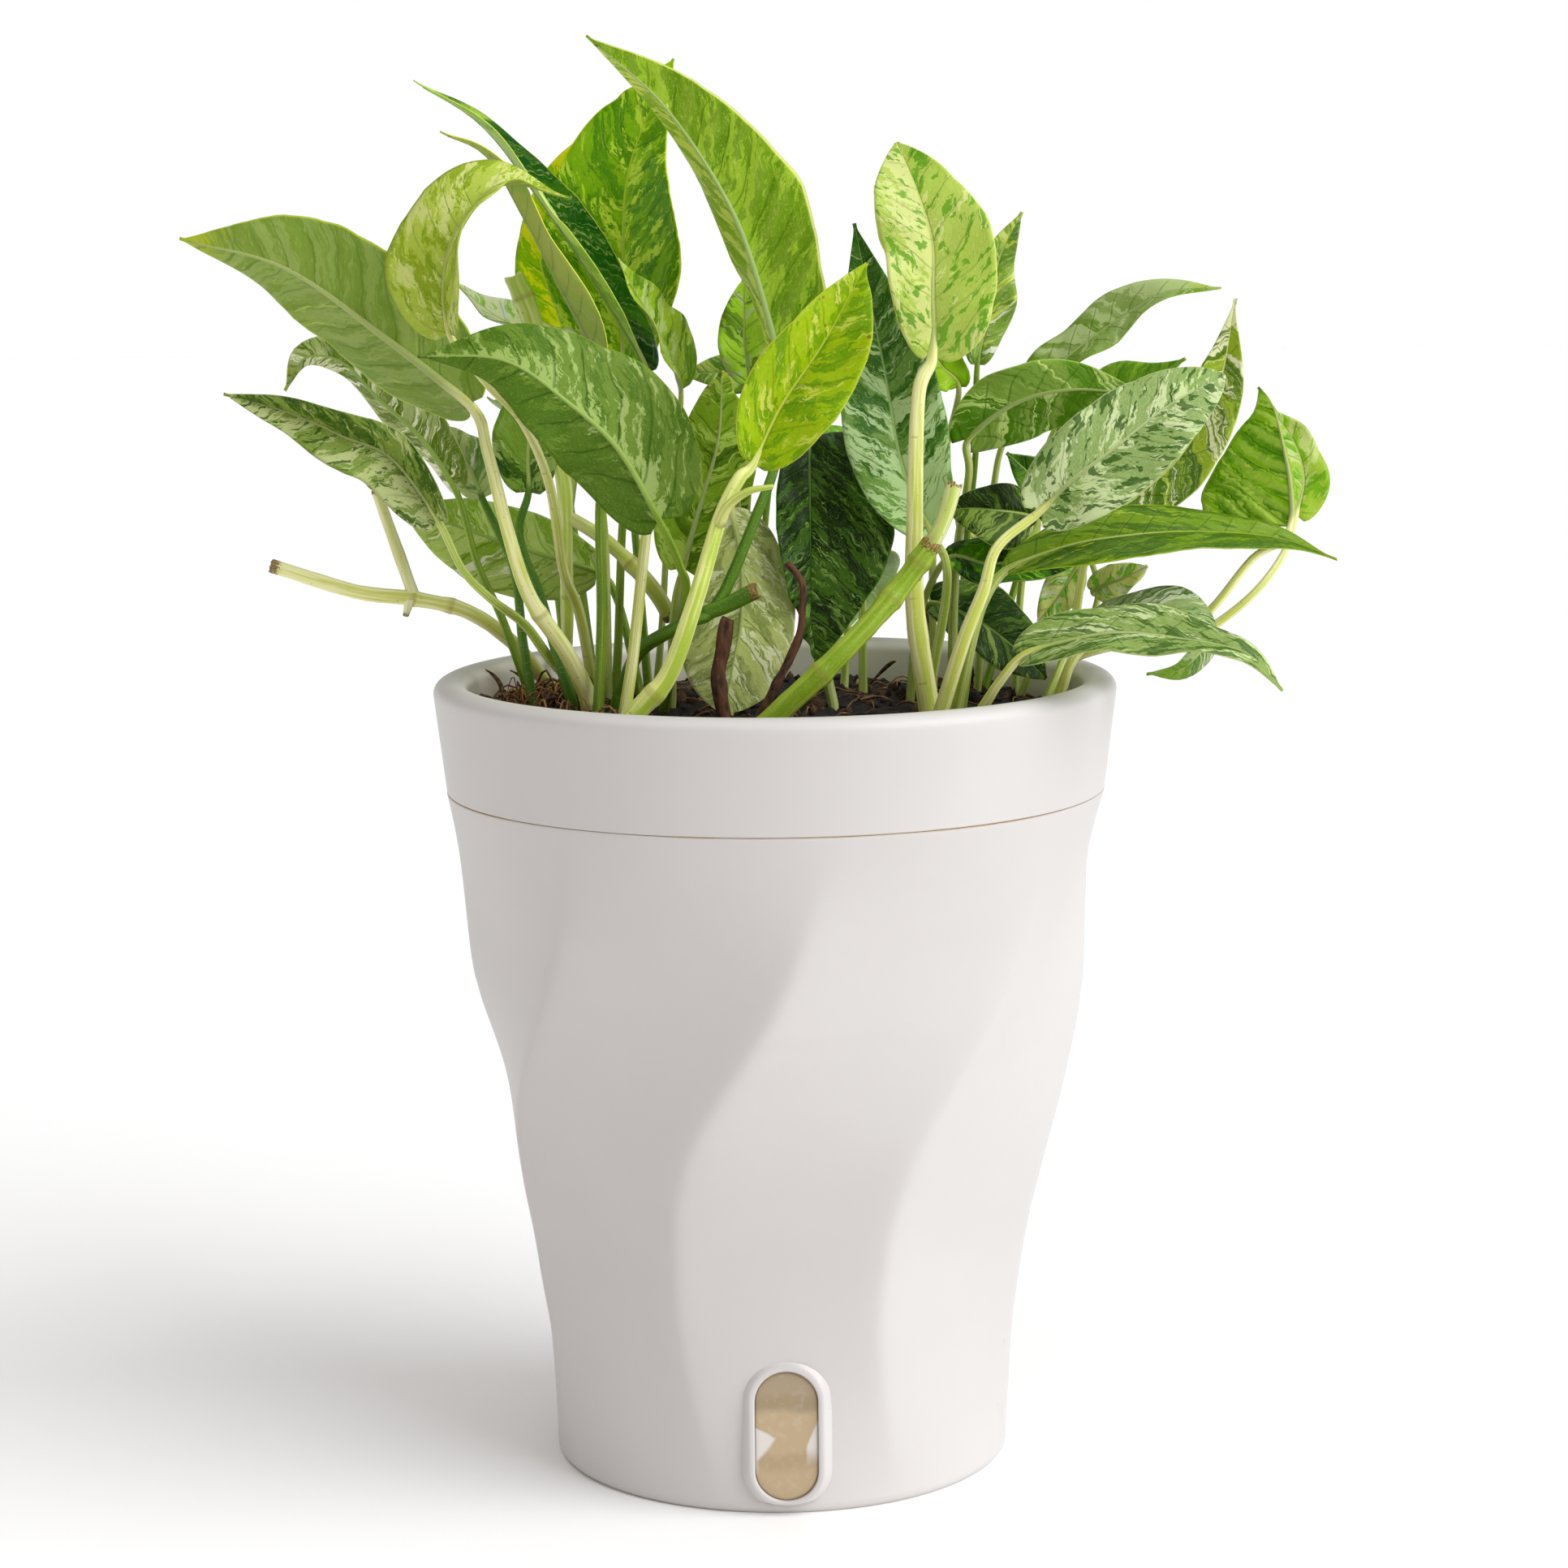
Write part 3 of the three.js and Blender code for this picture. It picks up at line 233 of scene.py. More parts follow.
# Each leaf, in millimetres and degrees. What it doesn't give is as in LEAF_USUAL.
# petiole, midrib   points from the soil up, and from the blade's base to its tip
# halves, bellies   width of the left and the right half, and where along the midrib each is widest
# roll, fold        turn of the upper side about the midrib, away from the front, and rise of both halves
# point, lobe       how drawn out the tip is, and how far the base lobes reach back
# stalk             the petiole's radius at its foot and, before add_stalk slims it, at the blade
# nodes             heights of the rings on the petiole
# spacing, quilt    way from one side vein to the next, and how far the blade swells between them
# nicks             place, side, depth and reach along the margin of each nick
# spur, spur_radii  a cut stub or sheath that has grown together with the petiole, and its radii
# twin, sky         a second blade in the same piece, and whether the upper side looks up, not to the front
# stem, slot        the petiole's finish, from STALKS, and the material slot
LEAVES = {
    "far_left": dict(
        petiole=[
            [-40, -14, 170], [-41, -15, 174], [-45, -19, 183], [-52, -24, 195], [-56, -28, 209],
            [-60, -28, 226],
        ],
        midrib=[[-64, -24, 236], [-83, -18, 251], [-104, -12, 265], [-127, -6, 271]],
        halves=[15.5, 18], roll=138, fold=22, point=1.1, lobe=4, stalk=[2.3, 1.7], spacing=7, nodes=[191],
        stem="pale", slot="leaf_underside",
    ),
    "folded_pale": dict(
        petiole=[
            [-40, 9, 168], [-43, 5, 188], [-46, -4, 199], [-48, -14, 218], [-53, -22, 232], [-60, -31, 241],
        ],
        midrib=[[-67, -33, 251], [-68, -34, 262], [-65, -32, 273], [-56, -24, 282], [-43, -14, 279]],
        halves=[14, 13], roll=-47, fold=25, bellies=[0.36, 0.3], point=1.7, stalk=[1.3, 1.1], stem="pale",
        slot="leaf_pale",
    ),
    "front_left": dict(
        petiole=[[-24, -8, 170], [-19, -20, 194], [-20, -28, 202]],
        midrib=[[-24, -34, 212], [-32, -38, 227], [-42, -42, 237], [-55, -44, 246], [-73, -42, 247]],
        halves=[17.5, 11.5], roll=180, fold=15, bellies=[0.26, 0.3], point=1.15, lobe=6, stalk=[1.2, 1.1],
        spacing=9, quilt=0.2, stem="green", slot="leaf_underside",
    ),
    "top": dict(
        petiole=[
            [-34, -8, 170], [-33, -9, 173], [-29, -14, 182], [-19, -24, 189], [-12, -24, 193],
            [-3, -22, 213], [1, -18, 224],
        ],
        midrib=[[3, -16, 238], [-3, -12, 263], [-10, -8, 280], [-23, -6, 299], [-39, -6, 313]],
        halves=[15.5, 15.5], roll=130, fold=30, bellies=[0.35, 0.35], point=1.1, lobe=3, stalk=[1.9, 1.3],
        spacing=8, quilt=0.25, nodes=[193], spur=[[-15, -24, 191], [-10, -25, 193], [-4, -26, 196]],
        spur_radii=[1.6, 1.8], stem="stub", slot="leaf_green",
    ),
    "tall_marbled": dict(
        petiole=[[-32, -26, 171], [-30, -24, 184], [-27, -18, 210], [-25, 4, 223], [-27, 18, 233]],
        midrib=[[-33, 25, 241], [-33, 25, 265], [-31, 24, 286], [-21, 20, 309]],
        halves=[19, 19], roll=-30, fold=17, bellies=[0.38, 0.38], lobe=3, stalk=[1.5, 1.1], spacing=7,
        nicks=[[0.8, -1, 0.06, 0.03], [0.88, -1, 0.1, 0.025]], stem="pale", slot="leaf_marbled",
    ),
    "lime_behind": dict(
        petiole=[
            [-38, -20, 170], [-37, -18, 190], [-37, -14, 215], [-34, -5, 221], [-34, 8, 227],
            [-38, 26, 234],
        ],
        midrib=[[-41, 34, 239], [-45, 38, 260], [-44, 38, 280], [-37, 36, 296]],
        halves=[13, 13], fold=12, stalk=[1.35, 1.1], stem="green", slot="leaf_lime",
    ),
    "long_dark": dict(
        petiole=[[-36, 15, 168], [-35, 14, 179], [-33, 11, 212], [-29, 8, 230]],
        midrib=[[-27, 4, 241], [-38, 2, 261], [-51, -2, 281], [-62, -4, 295], [-76, -6, 304]],
        halves=[13, 13], roll=72, fold=18, bellies=[0.33, 0.33], point=1.4, stem="green", slot="leaf_dark",
    ),
    "edge_on_pale": dict(
        petiole=[[-37, 6, 168], [-37, 3, 203], [-38, -5, 224]],
        midrib=[[-37, -10, 243], [-45, -14, 261], [-52, -16, 275], [-60, -14, 288], [-70, -12, 293]],
        halves=[7, 7], roll=100, fold=20, bellies=[0.3, 0.3], point=1.2, stalk=[1.1, 0.9],
        nicks=[[0.6, 1, 0.2, 0.08]], stem="mid", slot="leaf_pale",
    ),
    "lime_sliver": dict(
        petiole=[[-27, 17, 166], [-25, 16, 186], [-23, 17, 215]],
        midrib=[[-20, 7, 237], [-24, -2, 249], [-29, -4, 258], [-33, -4, 266]],
        halves=[8, 9], roll=60, fold=20, bellies=[0.35, 0.35], lobe=1, stalk=[1, 0.8], stem="mid",
        slot="leaf_lime",
    ),
    "foreshortened": dict(
        petiole=[[-46, 20, 169], [-47, 19, 182], [-47, 19, 197], [-44, 16, 219]],
        midrib=[[-41, 15, 239], [-53, 20, 248], [-63, 22, 254], [-71, 23, 261]],
        halves=[9.5, 9.5], roll=60, fold=15, bellies=[0.35, 0.35], stalk=[1.1, 0.9], stem="mid",
        slot="leaf_pale",
    ),
    "dark_behind_left": dict(
        petiole=[[-44, -12, 170], [-48, -11, 184], [-51, -11, 195], [-54, -11, 203], [-55, -8, 209]],
        midrib=[[-53, -7, 216], [-53, -6, 224], [-52, -5, 235], [-49, -4, 243]],
        halves=[8, 8], fold=20, stalk=[1.3, 1.1], stem="deep", slot="leaf_dark",
    ),
    "small_upright": dict(
        petiole=[[-9, 16, 166], [-7, 18, 197], [-5, 18, 222]],
        midrib=[[-5, 15, 238], [-6, 13, 247], [-6, 11, 261]],
        halves=[6, 6], point=0.8, lobe=1, stalk=[1, 0.8], stem="green", slot="leaf_green",
    ),
    "dark_level": dict(
        petiole=[[-5, 22, 165], [-2, 24, 205]],
        midrib=[[1, 22, 238], [-9, 20, 240], [-20, 18, 240]],
        halves=[5, 5], lobe=1, stalk=[1, 0.8], stem="green", slot="leaf_dark",
    ),
    "grey_upright": dict(
        petiole=[[-23, 0, 168], [-22, 0, 188]],
        midrib=[[-20, 3, 198], [-16, 7, 212], [-12, 8, 226], [-11, 12, 241]],
        halves=[10.5, 10.5], roll=180, fold=8, bellies=[0.35, 0.4], point=0.7, lobe=3, stalk=[1.3, 1.1],
        nicks=[[0.9, -1, 0.3, 0.05], [0.97, 1, 0.3, 0.03]], stem="mid", slot="leaf_underside",
    ),
    "hanging_pale": dict(
        petiole=[[-10, -10, 170], [-9, -5, 188], [-8, 3, 203], [-8, 4, 211], [-8, 0, 215]],
        midrib=[[-9, -5, 212], [-7, -9, 201], [-7, -14, 189], [-9, -18, 179], [-11, -20, 169]],
        halves=[12, 12], roll=180, bellies=[0.7, 0.7], point=0.6, lobe=1, stem="pale", slot="leaf_pale",
    ),
    "front_lime": dict(
        petiole=[[-29, -48, 173], [-22, -48, 181], [-16, -48, 197], [-11, -44, 213], [-7, -42, 221]],
        midrib=[[-4, -40, 224], [2, -38, 236], [11, -36, 249], [20, -32, 265]],
        halves=[12, 12], roll=15, fold=32, bellies=[0.36, 0.4], point=0.85, stalk=[2.4, 1.6],
        nicks=[[0.97, 1, 0.4, 0.05]], nodes=[177],
        spur=[[-11, -45, 212], [-9, -47, 216], [-5, -49, 219], [0, -50, 220]], spur_radii=[1.3, 0.5],
        stem="lime", slot="leaf_lime",
    ),
    "drooping_dark": dict(
        petiole=[[13, 2, 167], [11, 6, 178], [10, 10, 197], [9, 8, 219]],
        midrib=[[8, 2, 227], [8, -6, 216], [8, -10, 202], [8, -12, 189], [9, -12, 179]],
        halves=[19, 8], roll=-10, fold=15, bellies=[0.35, 0.35], point=0.8, lobe=3, stalk=[1.3, 1.1],
        spacing=7, quilt=0.35, nicks=[[0.8, 1, 0.35, 0.05], [0.93, 1, 0.5, 0.03]], stem="dim",
        slot="leaf_dark",
    ),
    "white_streaked": dict(
        petiole=[[34, -10, 168], [34, -11, 174], [37, -14, 192], [37, -16, 201]],
        midrib=[[34, -14, 207], [28, -10, 221], [24, -8, 243], [18, -4, 273]],
        halves=[12, 12], fold=20, bellies=[0.35, 0.35], point=1.1, lobe=3, stalk=[1.3, 1.1], stem="mid",
        slot="leaf_dark",
    ),
    "tall_pale": dict(
        petiole=[[33, -28, 170], [30, -28, 192], [30, -27, 211], [31, -24, 237]],
        midrib=[[34, -22, 245], [34, -22, 258], [34, -20, 269], [31, -16, 280], [27, -10, 290]],
        halves=[11, 13.8], roll=5, bellies=[0.62, 0.32], point=0.8, lobe=3, stalk=[2.5, 1.9], quilt=0.2,
        nodes=[187], stem="pale", slot="leaf_pale",
    ),
    "narrow_behind": dict(
        petiole=[[42, 27, 166], [43, 24, 196], [45, 14, 222]],
        midrib=[[45, 6, 242], [48, 8, 254], [50, 10, 265], [55, 10, 275]],
        halves=[6, 5], roll=20, fold=20, lobe=1, stalk=[1, 0.8], stem="green", slot="leaf_dark",
    ),
    "lime_low": dict(
        petiole=[[36, 26, 164], [36, 23, 207], [39, 16, 225]],
        midrib=[[41, 8, 237], [37, 6, 242], [31, 4, 251]],
        halves=[5, 5], point=0.8, lobe=1, stalk=[1, 0.8], stem="lime", slot="leaf_lime",
    ),
    "upper_right": dict(
        petiole=[[46, 30, 165], [48, 30, 195], [50, 28, 215], [52, 26, 224]],
        midrib=[[57, 22, 234], [66, 21, 243], [77, 20, 251], [87, 16, 257], [99, 12, 258]],
        halves=[8, 8], roll=-45, fold=12, bellies=[0.38, 0.38], point=1.1, stalk=[1, 0.9], stem="mid",
        slot="leaf_green",
    ),
    "right_level": dict(
        petiole=[[39, 2, 168], [40, 3, 198], [43, 4, 218]],
        midrib=[[43, 4, 226], [53, 0, 234], [65, -4, 237], [80, -8, 236]],
        halves=[10.5, 8], roll=-150, fold=15, bellies=[0.35, 0.3], point=0.9, lobe=7, stem="mid",
        slot="leaf_underside",
    ),
    "front_right": dict(
        petiole=[[35, -36, 171], [40, -38, 187], [44, -38, 197], [47, -37, 206]],
        midrib=[[56, -34, 213], [63, -36, 220], [71, -36, 226], [83, -34, 235], [95, -30, 241]],
        halves=[10.5, 11.5], fold=12, bellies=[0.36, 0.4], point=0.65, lobe=5, stalk=[1.8, 1.3],
        nicks=[[0.55, 1, 0.05, 0.03]], stem="pale", slot="leaf_pale",
    ),
    "right_long": dict(
        petiole=[[39, -24, 170], [42, -26, 185], [45, -26, 194]],
        midrib=[
            [50, -24, 200], [63, -24, 205], [78, -22, 207], [93, -18, 207], [109, -14, 205],
            [122, -10, 200],
        ],
        halves=[8, 9], roll=-40, bellies=[0.35, 0.35], point=1.2, lobe=3, stalk=[1.5, 1.3], stem="mid",
        slot="leaf_green",
    ),
    "right_pointed": dict(
        petiole=[[62, -10, 172], [65, -12, 187], [67, -12, 199]],
        midrib=[[70, -9, 208], [79, -6, 214], [89, -4, 223], [97, -2, 237], [101, 2, 256]],
        halves=[9, 9], roll=-15, fold=15, bellies=[0.35, 0.35], point=1.2, stem="pale", slot="leaf_marbled",
    ),
    "ribbed": dict(
        petiole=[
            [62, -16, 173], [64, -17, 179], [68, -17, 183], [78, -16, 185], [90, -15, 187], [95, -16, 191],
            [103, -16, 201], [109, -13, 204],
        ],
        midrib=[[112, -8, 207], [112, -6, 216], [111, -4, 223], [109, -2, 232], [106, 0, 237]],
        halves=[14, 20], roll=212, fold=48, bellies=[0.3, 0.14], point=1.1, lobe=1, spacing=5.2, quilt=1.2,
        stem="pale", slot="leaf_green",
    ),
    "far_right": dict(
        petiole=[
            [63, 6, 170], [66, 6, 177], [80, 4, 181], [92, 0, 183], [97, 0, 185], [106, 2, 192],
            [113, 8, 200],
        ],
        midrib=[[116, 12, 208], [118, 15, 216], [116, 18, 224], [111, 20, 231]],
        halves=[7.65, 5.65], roll=10, bellies=[0.35, 0.28], point=0.8, lobe=3, stalk=[1.25, 1], stem="pale",
        slot="leaf_lime",
    ),
    "lower_right": dict(
        petiole=[[44, -40, 173], [47, -42, 178]],
        midrib=[
            [52, -44, 184], [60, -46, 187], [71, -48, 189], [83, -50, 188], [97, -52, 185], [105, -52, 177],
        ],
        halves=[7.5, 6.5], roll=-35, fold=8, bellies=[0.3, 0.3], lobe=5, stalk=[1.3, 1.2], stem="pale",
        slot="leaf_pale",
    ),
    "curled_right": dict(
        petiole=[[58, -26, 172], [63, -24, 183]],
        midrib=[
            [69, -20, 188], [79, -22, 192], [88, -24, 190], [92, -26, 185], [87, -28, 179], [79, -30, 178],
        ],
        halves=[6, 6], roll=-50, bellies=[0.35, 0.35], stalk=[1, 0.8], stem="mid", slot="leaf_green",
    ),
    "low_dark_right": dict(
        petiole=[[34, 20, 168], [34, 18, 182]],
        midrib=[[35, 12, 189], [45, 14, 185], [53, 16, 179], [61, 18, 171]],
        halves=[9, 9], roll=-20, point=0.8, lobe=3, nicks=[[0.4, 1, 0.12, 0.04]], stem="dim",
        slot="leaf_dark",
    ),
    "under_right": dict(
        petiole=[[30, 10, 167], [32, 8, 186]],
        midrib=[[38, 0, 200], [47, -2, 199], [60, -3, 200], [72, -3, 202]],
        halves=[7, 7], roll=-30, stem="mid", slot="leaf_dark",
    ),
    "middle_right": dict(
        petiole=[[41, -8, 169], [44, -14, 189], [50, -14, 199]],
        midrib=[[58, 0, 208], [46, -2, 211], [38, -2, 211]],
        halves=[9.5, 6], roll=10, point=0.8, stalk=[1.1, 0.9], stem="mid", slot="leaf_underside",
    ),
    "back_low_right": dict(
        petiole=[[56, 22, 168], [64, 25, 188]],
        midrib=[[69, 20, 207], [61, 18, 214], [52, 16, 222]],
        halves=[6, 6], stalk=[1.1, 0.9], stem="mid", slot="leaf_dark",
    ),
    "small_marbled": dict(
        petiole=[[64, 14, 169], [66, 13, 176], [72, 12, 189], [70, 8, 199]],
        midrib=[[67, 4, 198], [63, 2, 192], [58, 0, 186]],
        halves=[4.5, 4.5], point=0.8, lobe=1, stalk=[0.9, 0.8],
        twin=dict(
            midrib=[[71, 11.5, 191], [73, 8, 193], [77, 4, 195], [82, 0, 198]],
            halves=[4, 4], point=0.8, lobe=1, stalk=[0.9, 0.8],
        ),
        stem="mid", slot="leaf_marbled",
    ),
    "left_low": dict(
        petiole=[
            [-42, -3, 169], [-43, -4, 172], [-49, -9, 180], [-54, -14, 188], [-60, -22, 194],
            [-66, -26, 201],
        ],
        midrib=[[-71, -28, 212], [-80, -30, 225], [-90, -32, 230], [-101, -32, 235], [-115, -30, 239]],
        halves=[8.5, 9], roll=-20, fold=40, bellies=[0.3, 0.3], lobe=4, stalk=[1.3, 1.1], stem="mid",
        slot="leaf_marbled",
    ),
    "left_hooked": dict(
        petiole=[[-55, 8, 171], [-60, 4, 187], [-65, 0, 200]],
        midrib=[
            [-69, -3, 216], [-76, 0, 227], [-86, 4, 236], [-94, 5, 244], [-102, 4, 245], [-106, 0, 238],
        ],
        halves=[7.5, 7], roll=140, fold=25, bellies=[0.35, 0.35], stalk=[1.1, 1],
        nicks=[[0.2, 1, 0.15, 0.06]], stem="green", slot="leaf_underside",
    ),
    "left_small_dark": dict(
        petiole=[[-53, -6, 170], [-55, -5, 183], [-57, -2, 199]],
        midrib=[[-64, 4, 214], [-67, 6, 221], [-71, 7, 226], [-75, 8, 229]],
        halves=[6, 6], roll=20, fold=15, point=0.9, lobe=1, stalk=[1.3, 1.1], stem="deep", slot="leaf_dark",
    ),
    "left_back": dict(
        petiole=[[-30, 16, 167], [-33, 22, 180], [-36, 26, 190]],
        midrib=[[-40, 27, 195], [-54, 25, 200], [-68, 23, 205], [-83, 20, 211]],
        halves=[8.5, 12], roll=165, bellies=[0.45, 0.45], point=0.8, lobe=3, stem="green",
        slot="leaf_underside",
    ),
    "back_sliver": dict(
        petiole=[[55, 30, 165], [57, 36, 194]],
        midrib=[[64, 34, 226], [77, 32, 235], [86, 30, 238], [93, 28, 242]],
        halves=[6, 6], roll=-20, point=1.1, stalk=[1.1, 0.9], stem="mid", slot="leaf_green",
    ),
    "back_a": dict(
        petiole=[[-41, 30, 168]],
        midrib=[[-49, 42, 224], [-57, 56, 227], [-60, 74, 230]],
        halves=[12, 12], roll=20, lobe=3, sky=True, stem="green", slot="leaf_green",
    ),
    "back_b": dict(
        petiole=[[20, 26, 166]],
        midrib=[[20, 45, 220], [19, 62, 223], [18, 80, 223]],
        halves=[12, 12], lobe=3, stalk=[1.3, 1], sky=True, stem="mid", slot="leaf_marbled",
    ),
    "back_c": dict(
        petiole=[[48, 36, 166]],
        midrib=[[63, 48, 212], [68, 62, 216], [74, 78, 218]],
        halves=[10, 10], lobe=3, sky=True, stem="green", slot="leaf_green",
    ),
    "back_d": dict(
        petiole=[[-29, 30, 168]],
        midrib=[[-35, 40, 250], [-36, 58, 257], [-36, 76, 260]],
        halves=[12, 12], lobe=3, stalk=[1.3, 1], sky=True, stem="green", slot="leaf_marbled",
    ),
    "back_e": dict(
        petiole=[[16, 40, 168]],
        midrib=[[18, 50, 195], [18, 72, 187], [15, 88, 172]],
        halves=[12, 12], lobe=3, sky=True, stem="mid", slot="leaf_green",
    ),
    "back_f": dict(
        petiole=[[44, 46, 167]],
        midrib=[[49, 52, 200], [54, 70, 198], [58, 86, 191]],
        halves=[10, 10], lobe=3, sky=True, stem="pale", slot="leaf_pale",
    ),
    "back_g": dict(
        petiole=[[-48, 40, 169]],
        midrib=[[-52, 48, 196], [-60, 66, 196], [-69, 80, 193]],
        halves=[9, 9], lobe=3, stalk=[1.1, 0.9], sky=True, stem="green", slot="leaf_green",
    ),
}

# What the marbling can be given, and its usual values: colours of the ground and of the sage and pale
# patches and how much of each there is; how far the patches lean to the right half, the tip and the midrib;
# their size and stretch, and how far they run lengthwise, not along the side veins; side veins, painted light
# in bands on the swellings between them, midrib, margin and tip; brown specks and flecks of the ground
# colour;
# the colour of the side that looks away, where seen_side is -1 if the photograph shows the underside; and the
# number that starts the patterns.
LEAF_SETTINGS = dict(
    ground="#4f7d14", sage="#86a05a", pale="#b9c67a", sage_share=0.4, pale_share=0.2, right=0.0,
    tipwards=0.0, along_rib=0.0, size=1.0, stretch=3.0, lengthwise=0.0, vein="#3f6a14", veining=0.25,
    ridge_light=0.0, spacing=6.0, rib="#a9bd62", rib_width=0.7, margin="#b4c47a", margin_width=0.03,
    tip="#9ab030", tip_start=1.2, specks=0.0, flecks=0.0, other_side="#8ea36a", seen_side=1.0, seed=0.0,
)

